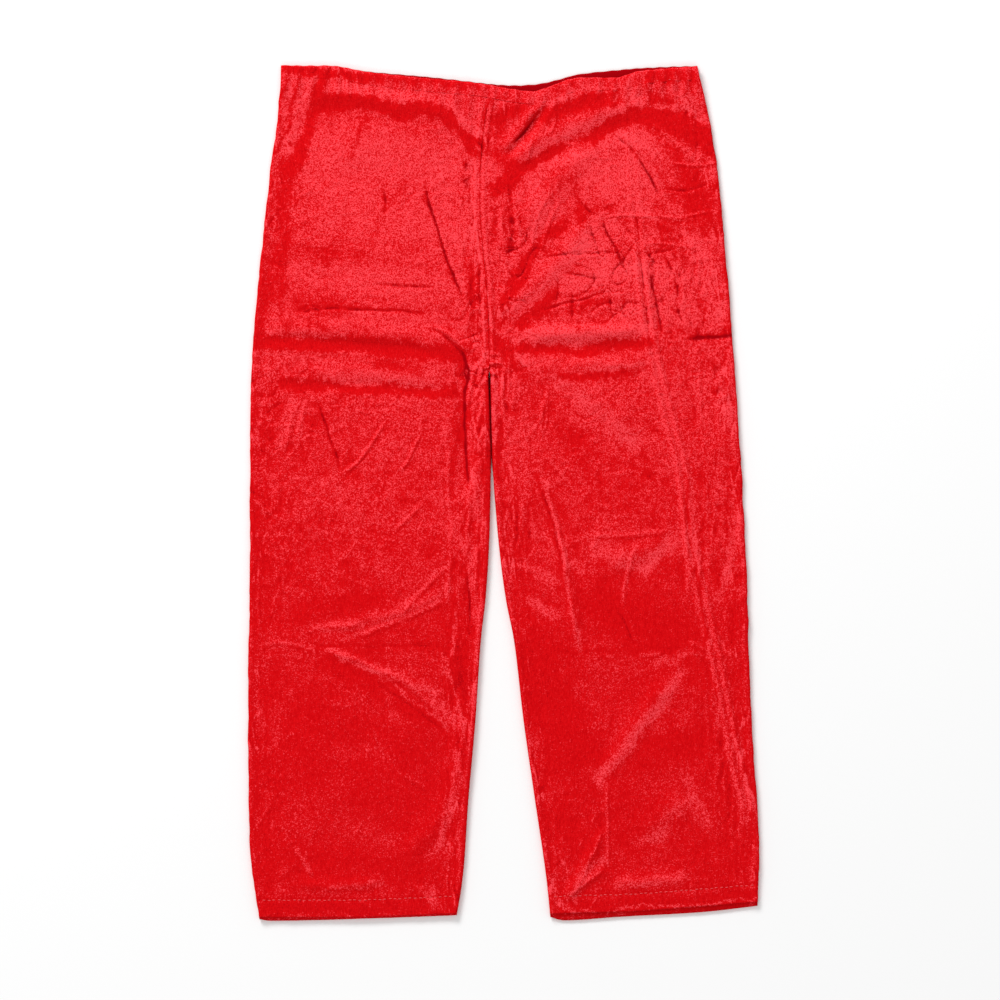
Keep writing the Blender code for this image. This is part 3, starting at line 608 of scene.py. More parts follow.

# Patches of painted sheen and painted shade on the pile, in the same columns but for the last: how much
# lighter or darker they paint it
PaintedPatch = namedtuple("PaintedPatch", "x0 down0 x1 down1 bow width light")
SHEEN_AND_SHADE_PATCHES = table_of(PaintedPatch, [
    # Left hip
    (-213, 19, -251, 124, 5, 7, -0.45),
    (-225, 21, -256, 98, 4, 5.9, 0.22),
    (-213, 49, -163, 42, 2, 9.4, -0.6),
    (-166, 40, -108, 54, -2, 8.2, -0.55),
    (-122, 52, -66, 63, 6, 9.4, -0.6),
    (-68, 63, -35, 106, 2, 8.2, -0.3),
    (-40, 87, -28, 98, 0, 10.6, -0.6),
    (-256, 110, -267, 274, 2, 9.4, -0.3),
    (-209, 28, -122, 38, 5, 4.7, 0.3),
    (-116, 35, -30, 80, 7, 5.9, 0.35),
    (-61, 49, -28, 75, -9, 4.7, 0.25),
    (-216, 110, -40, 122, 0, 35.2, 0.24),
    (-260, 213, -169, 230, 0, 14.1, -0.16),
    (-244, 183, -197, 174, 0, 8.2, -0.12),
    (-192, 171, -57, 186, 0, 25.8, 0.18),
    (-239, 239, -75, 263, 0, 16.4, 0.18),
    (-204, 298, -75, 306, 0, 9.4, 0.12),
    (-159, 66, -181, 108, 0, 4.7, -0.28),
    (-120, 140, -155, 198, 0, 5.9, -0.2),
    (-181, 186, -210, 230, 0, 7, -0.14),
    (-239, 274, -186, 286, 0, 11.7, -0.2),
    (-35, 122, -30, 230, 0, 5.9, 0.25),
    (-45, 230, -33, 295, 0, 7, -0.2),
    (-84, 110, -54, 263, 5, 9.4, 0.12),
    (-277, 157, -284, 309, 0, 8.2, -0.15),
    # Left laps and thigh
    (-291, 324, -54, 339, 4, 8.2, -0.56),
    (-145, 347, -98, 352, 0, 8.2, -0.25),
    (-204, 363, -174, 366, 0, 7, 0.22),
    (-166, 363, -94, 368, 0, 7, 0.22),
    (-258, 373, -61, 381, 0, 5.3, -0.5),
    (-204, 420, -63, 438, 0, 30.5, -0.08),
    (-260, 403, -251, 509, 0, 18.8, -0.09),
    (-204, 438, -134, 445, 0, 16.4, 0.06),
    (-239, 98, -242, 157, 0, 9.4, -0.1),
    (-284, 368, -291, 673, 0, 11.7, -0.1),
    # Left inseam and the slit
    (-21, 474, -26, 591, 0, 8.2, -0.08),
    (-16, 327, -28, 474, 4, 18.8, -0.08),
    (-14, 363, -12, 471, 0, 1.6, 0.6),
    (-6, 421, -5, 483, 0, 4.1, -0.3),
    (-48, 345, -49, 438, 5, 4.7, -0.4),
    (-21, 368, -20, 532, 0, 4.7, -0.3),
    # Left thigh, knee and shin
    (-204, 509, -87, 521, 0, 25.8, 0.05),
    (-75, 497, -63, 538, 0, 9.4, 0.1),
    (-43, 556, -28, 626, 0, 8.2, 0.1),
    (-213, 659, -61, 612, -7, 5.9, 0.22),
    (-204, 685, -82, 729, -2, 5.9, 0.26),
    (-204, 702, -98, 757, 0, 11.7, -0.2),
    (-239, 640, -145, 626, 0, 9.4, -0.15),
    (-80, 743, -40, 776, 0, 7, 0.3),
    (-54, 809, -68, 860, 4, 5.9, 0.24),
    (-61, 860, -89, 926, 4, 5.9, 0.26),
    (-74, 687, -45, 792, 4, 1.9, 0.3),
    (-68, 685, -40, 788, 4, 1.8, -0.3),
    (-54, 614, -68, 685, -2, 1.8, -0.35),
    (-49, 617, -63, 682, -2, 1.8, 0.3),
    (-40, 626, -49, 673, 0, 1.8, 0.25),
    (-141, 732, -124, 762, 0, 8.2, 0.2),
    (-192, 800, -141, 804, 0, 9.4, 0.13),
    (-264, 743, -266, 800, 0, 4.7, 0.16),
    (-251, 732, -250, 757, 0, 3.5, 0.14),
    (-251, 790, -98, 825, 0, 58.6, -0.11),
    (-204, 961, -145, 959, 0, 3.5, 0.24),
    (-87, 964, -80, 980, 0, 5.9, 0.22),
    # Corners of the waist
    (-231, 21, -264, 115, 0, 2.2, 0.3),
    (-237, 19, -267, 101, 0, 1.9, -0.35),
    (-244, 16, -263, 68, 0, 2.1, 0.3),
    (-251, 16, -265, 54, 0, 1.8, -0.3),
    (171, 14, 223, 16, 2, 8.2, -0.3),
    (174, 35, 195, 42, 0, 7, -0.35),
    (120, 39, 169, 35, 2, 2.6, 0.3),
    (211, 38, 243, 80, -2, 2.6, 0.35),
    (220, 26, 246, 70, -2, 2.6, -0.35),
    # Crotch
    (-12, 314, 4, 331, 1, 2, 0.32),
    (12, 324, 27, 353, -1, 2, 0.35),
    (-20, 328, -40, 362, 2, 2.3, 0.45),
    (-40, 359, -43, 401, 1, 2.1, 0.4),
    (-22, 336, -27, 373, 2, 1.9, 0.3),
    (-14, 317, 2, 328, 0, 5.9, -0.3),
    (5, 335, 23, 366, 0, 8.2, -0.3),
    # Left knee, along its creases
    (-206, 685, -120, 720, -1, 2.3, 0.3),
    (-206, 691, -120, 727, -1, 1.9, -0.3),
    (-152, 713, -64, 775, 2, 2, 0.3),
    (-156, 719, -68, 781, 2, 1.9, -0.3),
    (-196, 675, -117, 646, 2, 2, 0.28),
    (-129, 640, -67, 589, 0, 1.9, 0.25),
    # Hems, and the folds across both knees
    (80, 992, 293, 979, 0, 1.5, 0.6),
    (-277, 998, -61, 992, 0, 1.3, 0.25),
    (26, 682, 230, 687, 0, 4.7, -0.14),
    (-216, 682, -66, 680, 0, 3.5, -0.14),
    # Left leg, thin streaks
    (-260, 448, -244, 389, 0, 4.7, 0.22),
    (-244, 445, -232, 396, 0, 3.5, 0.16),
    (-178, 427, -166, 392, 0, 3.5, 0.14),
    (-55, 392, -59, 474, 0, 4.7, -0.14),
    (-35, 509, -40, 626, 0, 4.7, 0.1),
    (-23, 626, -35, 732, 0, 3.5, 0.2),
    (-242, 919, -224, 951, 0, 3.5, 0.22),
    # Casing
    (-253, 6, -155, 13, 0, 5.3, -0.45),
    (-145, 16, -16, 28, 0, 4.7, -0.3),
    # Right hip, from the waist down
    (-7, 63, -5, 145, 0, 9.4, -0.1),
    (-5, 61, 19, 52, 0, 9.4, -0.35),
    (48, 61, 127, 38, 5, 8.2, -0.42),
    (30, 73, 66, 66, 0, 7, -0.14),
    (46, 49, 115, 30, 4, 3.5, 0.25),
    (-9, 110, 9, 122, 0, 8.2, -0.35),
    (23, 113, 159, 40, 7, 5.9, 0.4),
    (-12, 143, 113, 80, 4, 8.2, -0.62),
    (113, 80, 171, 54, 7, 9.4, -0.55),
    (171, 61, 246, 98, 9, 14.1, -0.6),
    (162, 47, 230, 54, 4, 4.7, 0.3),
    (218, 35, 244, 75, 4, 4.7, 0.25),
    (84, 96, 159, 87, 4, 11.7, 0.5),
    (103, 122, 169, 134, 0, 21.1, 0.35),
    (171, 98, 202, 131, 4, 10.6, 0.3),
    (148, 164, 174, 171, 0, 11.7, 0.34),
    (61, 171, 77, 190, 0, 9.4, 0.2),
    (110, 183, 138, 190, 0, 9.4, 0.28),
    (87, 152, 127, 148, 0, 9.4, 0.18),
    (83, 128, 91, 181, 0, 5.9, -0.3),
    (101, 171, 136, 166, 0, 4.7, -0.14),
    (197, 122, 230, 176, 7, 21.1, -0.38),
    (183, 163, 189, 204, 0, 8.2, -0.25),
    (218, 204, 256, 295, 5, 10.6, 0.28),
    (236, 134, 249, 124, 0, 5.9, 0.15),
    (249, 98, 263, 309, 4, 5.9, -0.3),
    (38, 136, 82, 101, 2, 8.2, 0.3),
    (42, 145, 38, 223, 0, 10.6, 0.28),
    (68, 183, -5, 300, -9, 8.2, -0.55),
    (-16, 298, 101, 190, -12, 8.2, 0.35),
    (-5, 328, 56, 263, -6, 8.2, -0.42),
    (80, 218, 113, 202, 0, 11.7, 0.3),
    (108, 230, 159, 246, 0, 14.1, 0.46),
    (68, 257, 113, 249, 0, 11.7, 0.32),
    (130, 274, 155, 298, 0, 11.7, 0.3),
    (159, 230, 202, 246, 0, 10.6, 0.34),
    (177, 265, 218, 295, 0, 14.1, 0.28),
    (169, 284, 192, 300, 0, 10.6, 0.3),
    (42, 263, 56, 298, 0, 5.9, -0.25),
    (80, 286, 136, 274, 0, 4.7, -0.35),
    (159, 183, 218, 198, 5, 5.9, -0.25),
    (174, 175, 244, 239, 7, 3.5, 0.3),
    # Right laps and thigh
    (12, 317, 169, 307, -2, 8.2, 0.5),
    (5, 333, 171, 327, -2, 4.7, -0.65),
    (66, 365, 171, 358, 0, 4.7, -0.45),
    (26, 347, 52, 352, 0, 7, 0.3),
    (66, 375, 152, 445, 5, 9.4, 0.3),
    (103, 347, 177, 359, 0, 8.2, 0.28),
    (42, 392, 89, 450, 0, 16.4, -0.2),
    (206, 347, 244, 352, 0, 9.4, -0.1),
    (288, 767, 294, 860, 0, 5.9, -0.12),
    (249, 359, 267, 415, 0, 8.2, 0.26),
    (113, 485, 183, 509, 0, 30.5, -0.07),
    # Right inseam and knee
    (2, 485, 23, 591, 0, 14.1, -0.08),
    (19, 532, 66, 562, 0, 9.4, 0.12),
    (113, 565, 150, 579, 0, 10.6, 0.28),
    (164, 591, 195, 556, 0, 8.2, 0.5),
    (218, 550, 225, 581, 0, 8.2, 0.32),
    (270, 532, 253, 620, 5, 7, 0.34),
    (66, 577, 89, 589, 0, 7, 0.22),
    (19, 581, 52, 603, 0, 7, 0.24),
    (33, 626, 56, 640, 0, 7, 0.26),
    (113, 626, 195, 673, 0, 28.1, -0.15),
    # Right shin and outer edge
    (218, 687, 177, 699, 0, 5.9, 0.28),
    (115, 837, 206, 710, -2, 7, 0.48),
    (75, 831, 108, 828, 0, 7, 0.14),
    (244, 696, 281, 860, -5, 7, 0.04),
    (209, 474, 239, 693, -2, 1.9, -0.35),
    (239, 691, 250, 749, 0, 1.9, -0.3),
    (215, 476, 245, 691, -2, 1.8, 0.22),
    (256, 782, 271, 887, 0, 1.8, -0.3),
    (274, 790, 294, 875, 1, 1.9, 0.3),
    (249, 743, 260, 814, 0, 1.9, 0.25),
    (177, 902, 212, 860, 0, 9.4, 0.22),
    (218, 837, 234, 896, 0, 8.2, 0.24),
    (155, 910, 185, 905, 0, 7, 0.16),
    (19, 673, 89, 814, 0, 30.5, -0.22),
    # Both shins and hems
    (-263, 938, -87, 945, 0, 25.8, -0.14),
    (-291, 837, -284, 907, 0, 16.4, -0.08),
    (-277, 987, -56, 987, 0, 10.6, -0.25),
    (101, 860, 230, 931, 0, 46.9, -0.06),
    (66, 987, 288, 978, 0, 9.4, -0.2),
    (159, 814, 230, 790, 0, 16.4, -0.16),
    (136, 957, 211, 950, 0, 7, 0.26),
    (82, 975, 120, 933, 5, 5.9, 0.28),
    (61, 978, 80, 992, 0, 3.5, 0.3),
    (57, 954, 66, 985, 0, 2.3, 0.25),
    # Right knee, along its creases, and the hem
    (41, 476, 73, 607, 6, 1.9, 0.35),
    (73, 605, 90, 687, 1, 1.9, 0.35),
    (36, 483, 67, 610, 6, 1.8, -0.25),
    (156, 562, 140, 631, -2, 1.8, 0.3),
    (66, 884, 101, 919, 0, 16.4, -0.14),
])


def along_table(at, knots, values):
    """A curve through a table's points that never swings past them."""
    knots = np.asarray(knots, float)
    values = np.asarray(values, float)
    steps = np.diff(values) / np.diff(knots)
    before, after = steps[:-1], steps[1:]
    level = before * after <= 0
    inner = np.where(level, 0.0, 2 * before * after / np.where(level, 1.0, before + after))
    slopes = np.concatenate([steps[:1], inner, steps[-1:]])
    at = np.clip(at, knots[0], knots[-1])
    k = np.clip(np.searchsorted(knots, at, side="right") - 1, 0, len(knots) - 2)
    width = knots[k + 1] - knots[k]
    t = (at - knots[k]) / width
    start = (1 + 2 * t) * (1 - t) ** 2 * values[k] + t * (1 - t) ** 2 * width * slopes[k]
    end = t * t * (3 - 2 * t) * values[k + 1] + t * t * (t - 1) * width * slopes[k + 1]
    return start + end


def column(table, name):
    return [getattr(row, name) for row in table]


def fade(away, reach):
    """1 at 0, falling smoothly to 0 within about twice the reach."""
    return np.exp(-((away / reach) ** 2))


def outseam(side, down):
    """A panel's outer edge, which wavers a little as cut velvet does."""
    smooth = along_table(down, column(OUTSEAMS, "down"), column(OUTSEAMS, side))
    long_wave, short_wave = [lattice_noise(0 * down, down, *wave) for wave in EDGE_WAVES[side]]
    return smooth + EDGE_WAVE * (long_wave + 0.5 * short_wave - 0.75)


def centre_line(side, down):
    """The centre seam's edge, carried on down the middle of the slit."""
    half_gap = SEAM_GAP / 2 if side == "right" else -SEAM_GAP / 2
    return along_table(down, column(CENTRES, "down"), column(CENTRES, "middle")) + half_gap


def inner_edge(side, down):
    """The panel's edge at the centre seam, and below the crotch at its inseam."""
    downs = column(CENTRES, "down")
    half_gap = along_table(down, downs, column(CENTRES, "gap")) / 2
    sign = -1 if side == "left" else 1
    return along_table(down, downs, column(CENTRES, "middle")) + sign * half_gap


def edge_down(table, x):
    return along_table(x, column(table, "x"), column(table, "down"))


def front_x(face, x):
    """The x on the front to look a place up at: the back repeats the front, mirrored."""
    return x if face == "front" else 2 * MIDDLE_X - x


def ease(value, start, end):
    """0 before start, 1 after end and smooth between them."""
    t = np.clip((value - start) / (end - start), 0, 1)
    return t * t * (3 - 2 * t)


def gather_phase(x):
    """How many gathers lie between x = 0 and x: their pitch is uneven."""
    return x / GATHER_PITCH + 0.22 * np.sin(x / 31) + 0.13 * np.sin(x / 13 + 1)


def gather_wave(x):
    """From -1 in a hollow to 1 on a crest, with crests of uneven height."""
    strength = 0.72 + 0.28 * np.sin(x / 19 + 0.6) * np.sin(x / 43)
    return strength * np.cos(2 * np.pi * gather_phase(x))


def beside(line, x, down):
    """How near its middle places lie beside a bowed line, and how far off it and past its ends."""
    run_x, run_down = line.x1 - line.x0, line.down1 - line.down0
    length = np.hypot(run_x, run_down)
    along = ((x - line.x0) * run_x + (down - line.down0) * run_down) / length**2
    off = ((x - line.x0) * run_down - (down - line.down0) * run_x) / length
    middle = np.clip(4 * along * (1 - along), 0, 1)
    past = np.maximum(np.abs(along - 0.5) - 0.5, 0) * length
    return middle, off - line.bow * middle, past


def fold_height(fold, x, down):
    middle, off, _ = beside(fold, x, down)
    return fold.height * np.clip(1.6 * middle, 0, 1) * fade(off, fold.width)


def painted_patch(stroke, x, down):
    """A soft-ended patch of painted sheen where its light is above 0, and of painted shade where it is
    below.
    """
    _, off, past = beside(stroke, x, down)
    away = (np.abs(off) / stroke.width) ** 4 + (past / stroke.width) ** 2
    return stroke.light * np.exp(-away)


def lattice_noise(x, down, size, seed, stretch=1.0):
    """Smooth noise from 0 to 1 with bumps about one size across, drawn out down the leg by stretch."""
    lattice = np.random.default_rng(seed).random((LATTICE, LATTICE))
    turn = seed if stretch == 1 else 0
    column_at = (x * np.cos(turn) + down * np.sin(turn)) / size
    row_at = (down * np.cos(turn) - x * np.sin(turn)) / (size * stretch)
    i, j = np.floor(column_at).astype(int), np.floor(row_at).astype(int)
    u, v = column_at - i, row_at - j
    u, v = u * u * (3 - 2 * u), v * v * (3 - 2 * v)
    i, j, next_i, next_j = i % LATTICE, j % LATTICE, (i + 1) % LATTICE, (j + 1) % LATTICE
    top = lattice[j, i] * (1 - u) + lattice[j, next_i] * u
    bottom = lattice[next_j, i] * (1 - u) + lattice[next_j, next_i] * u
    return top * (1 - v) + bottom * v


def shaken(x, down, reach, size, seed):
    """The same places moved about at random, so that what is drawn there gets a ragged edge."""
    moved_x = x + reach * (2 * lattice_noise(x, down, size, seed) - 1)
    moved_down = down + reach * (2 * lattice_noise(x, down, size, seed + 1) - 1)
    return moved_x, moved_down


def bent(x, down):
    """The places shaken a little, so that no fold or crease runs dead straight."""
    return shaken(x, down, *BEND)


def ridged(x, down, size, seed, stretch=1.0):
    """Noise folded into thin crests, as crushed cloth has: 0 between them and 1 on a crest."""
    x, down = shaken(x, down, size * 0.45, size * 1.6, seed + 1)
    return 1 - np.abs(2 * lattice_noise(x, down, size, seed, stretch) - 1) ** 0.7


def twin_ridge_height(x, down):
    """The two ridges down the right leg, low over the hip and ending above the hem."""
    guide = along_table(down, column(RIDGE_LINE, "down"), column(RIDGE_LINE, "x"))
    strength = (0.35 + 0.65 * ease(down, *RIDGES_FULL)) * ease(down, *RIDGES_START)
    strength = strength * (1 - ease(down, *RIDGES_END))
    height = 0
    for sign in (-1, 1):
        height = height + fade(x - guide + sign * TWIN_RIDGE_APART / 2, TWIN_RIDGE_WIDTH)
    return TWIN_RIDGE_HEIGHT * strength * height


def seam_relief(side, x, down):
    """A groove at the centre seam or inseam, and the turned allowance's ridge beside it."""
    away = np.abs(x - inner_edge(side, down))
    ridge = ALLOWANCE_HEIGHT * fade(away - ALLOWANCE, ALLOWANCE_WIDTH)
    groove = SEAM_GROOVE * fade(away, SEAM_GROOVE_WIDTH) * (1 - ease(down, SEAM_OPENS_DOWN, CROTCH_DOWN))
    return ridge * (1 - 0.5 * ease(down, SEAM_OPENS_DOWN, 420)) - groove


def within(patches, x, down):
    """1 at the middle of any of the patches, falling smoothly to 0 around them."""
    share = 0
    for patch in patches:
        away = ((x - patch.x) / patch.reach_x) ** 2 + ((down - patch.down) / patch.reach_down) ** 2
        share = np.maximum(share, np.exp(-away))
    return share


def cracked(x, down):
    """How much the pile is cracked into a net of lines, from 0 to 1."""
    share = 0.35 * ease(lattice_noise(x, down, *CRACK_PLACES), 0.45, 0.7)
    share = share * (1 - ease(down, *CRACKS_END))
    return np.maximum(share, within(CRACKED, x, down))


def crush(x, down):
    """The small crumples of crushed velvet, stronger in some places than in others."""
    strength = 0.35 + 0.65 * lattice_noise(x, down, *CRUSH)
    strength = strength * (1 - 0.45 * ease(down, *CALM_BELOW))
    fine = ridged(x, down, *CRINKLES) + 0.7 * ridged(x, down, *SMALL_CRINKLES) - 0.95
    flecks = np.clip(ridged(x, down, *FLECKS) - 0.86, 0, 1) / 0.14
    flecks = flecks * ease(lattice_noise(x, down, *FLECK_PLACES), 0.5, 0.75)
    cracks = np.clip(ridged(x, down, *CRACKS) - 0.70, 0, 1) / 0.30
    relief = strength * CRINKLE_HEIGHT * fine + FLECK_HEIGHT * flecks
    return relief - CRACK_DEPTH * cracks * cracked(x, down)


def ripples(side, x, down):
    """Long thin ripples that run down the leg beside its seams, where the cloth is drawn in."""
    from_inner = np.abs(x - inner_edge(side, down))
    from_outer = np.abs(x - outseam(side, down))
    inner_share, outer_share = RIPPLE_SHARES[side]
    strength = inner_share * fade(from_inner - 15, 15)
    strength = strength + outer_share * fade(from_outer - 30, 26)
    strength = strength * (0.3 + 0.7 * lattice_noise(x, down, *RIPPLE_PLACES))
    strength = np.maximum(strength, within(RIPPLED, x, down))
    crests = ridged(x, down, *LONG_RIPPLES) + 0.6 * ridged(x, down, *SHORTER_RIPPLES) - 0.9
    return LONG_RIPPLE_HEIGHT * strength * crests


def casing_lift(x, down):
    """How far the front casing's face is puffed out by its gathers."""
    pucker = ridged(x, 40 + 0.5 * down, *PUCKERS) - 0.5
    return GATHER_ON_BAND * gather_wave(x) + PUCKER_HEIGHT * pucker


def fine_relief(side, face, x, down, from_band, from_hem):
    """Creases, crumples, ripples and seams: what stands out of the cloth by about a millimetre."""
    at_x = front_x(face, x)
    bent_x, bent_down = bent(at_x, down)
    height = sum(fold_height(crease, bent_x, bent_down) for crease in CREASES)
    height = height + crush(at_x, down) + ripples(side, x, down) * ease(from_hem, *FROM_HEM)
    height = height * ease(from_band, *FROM_CASING) + seam_relief(side, x, down)
    if side == "right" and face == "front":
        height = height + twin_ridge_height(x, down)
    return height - HEM_GROOVE * fade(from_hem - HEM_STITCH_UP, HEM_GROOVE_WIDTH)


def fine_slope(side, face, x, down, from_band, from_hem):
    """How steeply the fine relief faces the light, which comes over the waist and from the left."""
    steps = []
    for over, along in ((0, SLOPE_STEP), (SLOPE_STEP, 0)):
        ahead = fine_relief(side, face, x + over, down + along, from_band + along, from_hem - along)
        behind = fine_relief(side, face, x - over, down - along, from_band - along, from_hem + along)
        steps.append((ahead - behind) / (2 * SLOPE_STEP))
    return steps[0] + ACROSS_SLOPE_SHARE * steps[1]


def front_top(side, x, down, from_band, from_hem, fine):
    """Height of the front's outer face above the floor."""
    height = FRONT_TOP + WAIST_LIFT * fade(from_band, WAIST_LIFT_REACH) + fine
    bent_x, bent_down = bent(x, down)
    for fold in FOLDS:
        height = height + FOLD_STRENGTH * fold_height(fold, bent_x, bent_down)
    slack = lattice_noise(x, down, *SLACK) - 0.5
    height = height + SLACK_HEIGHT * slack * ease(from_band, *FROM_CASING)
    height = height + GATHER_ON_FRONT * gather_wave(x) * fade(from_band, GATHER_FADE)
    swell = fade(x - outseam(side, down), EDGE_SWELL_REACH)
    inner_swell = fade(x - inner_edge(side, down), EDGE_SWELL_REACH)
    swell = np.maximum(swell, ease(down, CROTCH_DOWN, ROLL_FULL_DOWN) * inner_swell)
    thin = ease(from_hem, HEM_DEPTH, HEM_DEPTH + HEM_BLEND)
    lowest = LOWEST_TOP + (LOWEST_HEM_TOP - LOWEST_TOP) * (1 - thin)
    lowest = lowest + (FRONT_EDGE_TOP - lowest) * swell
    height = height + (FRONT_EDGE_TOP - FRONT_TOP) * swell
    height = lowest + np.log1p(np.exp((height - lowest) * LOWEST_SHARPNESS)) / LOWEST_SHARPNESS
    casing = 2 * BAND_THICK + SEAM_GAP + casing_lift(x, BAND_DEPTH)
    return height + (casing - height) * fade(from_band, JOINT_REACH)


def back_bottom(x, down, from_band, from_hem):
    """Height of the back's outer face: on the floor but for soft creases and the gathers."""
    mirrored = front_x("back", x)
    creases = 0
    for fold in FOLDS + CREASES:
        creases = creases + np.abs(fold_height(fold, mirrored, down))
    creases = 0.22 * creases + 0.8 * CRINKLE_HEIGHT * ridged(mirrored, down, *BACK_CRINKLES)
    creases = np.clip(creases - 0.25, 0, BACK_RELIEF) * ease(from_band, *RELIEF_FROM_CASING)
    stitch_height, stitch_width = BACK_HEM_STITCH
    creases = creases + stitch_height * fade(from_hem - HEM_STITCH_UP, stitch_width)
    hollow = 0.5 - 0.5 * gather_wave(x)
    return creases + GATHER_UNDER_BACK * hollow * fade(from_band, GATHER_FADE)


def painted_patches(x, down):
    """The painted sheen and painted shade patches laid over each other, with ragged edges."""
    for shake in RAGGED:
        x, down = shaken(x, down, *shake)
    down = down + FIBRE_REACH * (lattice_noise(x, down, *FIBRES) - 0.5)
    return sum(PAINTED_PATCH_CONTRAST * painted_patch(stroke, x, down) for stroke in SHEEN_AND_SHADE_PATCHES)


def drawn_in(side, x, down, from_band):
    """How much the cloth is drawn into fine lengthways wrinkles beside its seams and casing."""
    from_edge = np.minimum(np.abs(x - outseam(side, down)), np.abs(x - inner_edge(side, down)))
    return np.clip(fade(from_edge, 32) + 0.5 * fade(from_band, 26), 0, 1)


def pile_tone_sheen_and_shade(side, x, down, fine, rise, from_band, face):
    """How light the pile is painted: painted sheen and shade patches, random patches and streaks, more
    painted light towards the waist, on slopes that face the light and on crests, and painted shade in
    grooves.
    """
    at_x = front_x(face, x)
    light = PAINTED_SHEEN_UPPER + (PAINTED_SHEEN_LOWER - PAINTED_SHEEN_UPPER) * ease(down, *PAINTED_SHEEN_FALL)
    light = light + painted_patches(at_x, down)
    for share, pattern in NAP_PATCHES:
        light = light + share * (lattice_noise(at_x, down, *pattern) - 0.5)
    streak = lattice_noise(at_x, down, *STREAKS) - 0.5
    light = light + (0.14 + 0.46 * drawn_in(side, x, down, from_band)) * streak
    # Painted light on slopes that face the lamp and on crests, painted shade in grooves
    light = light + PAINTED_SLOPE_LIGHT * np.clip(rise, -STEEPEST, STEEPEST)
    light = light + np.where(fine > 0, PAINTED_CREST_LIGHT, PAINTED_GROOVE_SHADE) * np.clip(fine, -0.8, 0.8)
    light = light - (1 - PAINTED_LIGHT_PAST_KNEE) * np.maximum(light - PAINTED_LIGHT_KNEE, 0)
    return np.maximum(light, PAINTED_SHADE_DARKEST)


def slit(down):
    """1 where the legs lie so close that the back's cloth fills the space between the front's."""
    return ease(down, *SLIT_START) * (1 - ease(down, *SLIT_END))


def panel_rows(side, face):
    """A panel's points as rows down the leg and columns across it, before its edges are rolled."""
    spacing_x, spacing_down = SPACING[face]
    inside = round(PANEL_ACROSS / spacing_x)
    rows = round(PANEL_DOWN / spacing_down)
    fraction = np.interp(np.linspace(0, 1, rows + 1), ROW_SHARES, LENGTH_SHARES)[:, None]
    across = np.arange(inside + 2 * ROLL_COLUMNS + 1)[None, :]
    part = np.clip((across - ROLL_COLUMNS) / inside, 0, 1)
    down = GUESS_TOP + fraction * GUESS_LENGTH + 0 * part
    for _ in range(GUESS_ROUNDS):
        outer, inner = outseam(side, down), inner_edge(side, down)
        if face == "back":
            inner = inner + slit(down) * (centre_line(side, down) - inner)
        left, right = (outer, inner) if side == "left" else (inner, outer)
        x = (left + ROLL_REACH) * (1 - part) + (right - ROLL_REACH) * part
        top = edge_down(WAISTS[face], x) + BAND_DEPTH + BAND_TO_PANEL
        bottom = edge_down(HEMS[f"{face}_{side}"], x)
        down = top + fraction * (bottom - top)
    return x, down, fraction, across, left, right, top, bottom


def panel_arrays(side, face):
    """x, down, z and looks of a panel's outer face, and how far each point is from the hem."""
    x, down, fraction, across, left, right, top, bottom = panel_rows(side, face)
    outer, inner = (left, right) if side == "left" else (right, left)
    last = across[0, -1]
    near = np.minimum(across, last - across) + 0 * down
    near_left = (across < last - across) & (near >= 0)
    at_inner = near_left == (side == "right")
    share = np.where(at_inner, ease(down, CROTCH_DOWN, ROLL_FULL_DOWN), 1.0)
    edge = np.where(near_left, left, right)
    inward = np.where(near_left, 1, -1)
    from_band, from_hem = down - top, bottom - down
    fine = fine_relief(side, face, x, down, from_band, from_hem)
    rise = fine_slope(side, face, x, down, from_band, from_hem)
    if face == "front":
        z = front_top(side, x, down, from_band, from_hem, fine)
        outward = 1
    else:
        fine, rise = BACK_FINE * fine, BACK_FINE * rise
        z = back_bottom(x, down, from_band, from_hem)
        outward = -1
    angle = np.clip((near - 1) / (ROLL_COLUMNS - 1), 0, 1) * np.pi / 2
    seam_z = SEAM_HEIGHT + outward * SEAM_GAP / 2
    turned_z = np.where(near < 0.5, seam_z, z - outward * ROLL_RISE * (1 - np.sin(angle)))
    turned_x = edge + inward * ROLL_REACH * (1 - np.cos(angle))
    flat_x = edge + inward * ROLL_REACH * near / ROLL_COLUMNS
    at_edge = near < ROLL_COLUMNS
    edge_x = np.where(at_edge, flat_x + share * (turned_x - flat_x), x)
    z = np.where(at_edge, z + share * (turned_z - z), z)
    fine, rise = fine * ease(from_band, *PAINTED_LIGHT_FROM_CASING), rise * ease(from_band, *FROM_CASING)
    # Painted shade in grooves, full where the fine relief sinks by the crevice depth
    shade = np.clip(-fine / CREVICE_DEPTH - 0.1, 0, 1)
    # The back's cloth under the slit is painted in shadow
    if face == "back":
        shade = np.maximum(shade, slit(down) * fade(x - inner, SLIT_SHADE_REACH))
    # Painted shade along the rolled edges
    from_edge = np.minimum(np.abs(edge_x - outer), np.abs(edge_x - inner))
    rim = RIM_SHADE * fade(from_edge, RIM_REACH)
    # The first two looks are the pile's tone with painted sheen and shade, and painted shade in creases
    looks = {
        "tone_sheen_and_shade": pile_tone_sheen_and_shade(side, x, down, fine, rise, from_band, face) - rim,
        "painted_crevice_shade": shade,
        "cracked": cracked(front_x(face, x), down) * ease(from_band, *RELIEF_FROM_CASING),
        "drawn": drawn_in(side, x, down, from_band),
    }
    down = down + (1 - fraction) * (edge_down(WAISTS[face], edge_x) - edge_down(WAISTS[face], x))
    hem = HEMS[f"{face}_{side}"]
    down = down + fraction * (edge_down(hem, edge_x) - edge_down(hem, x))
    return edge_x, down, z, looks, bottom - down


def new_object(name, data):
    thing = bpy.data.objects.new(name, data)
    bpy.context.scene.collection.objects.link(thing)
    return thing


def mesh_object(name, shape, material):
    """An object from a bmesh, which is used up."""
    mesh = bpy.data.meshes.new(name)
    shape.to_mesh(mesh)
    shape.free()
    mesh.materials.append(material)
    return new_object(name, mesh)


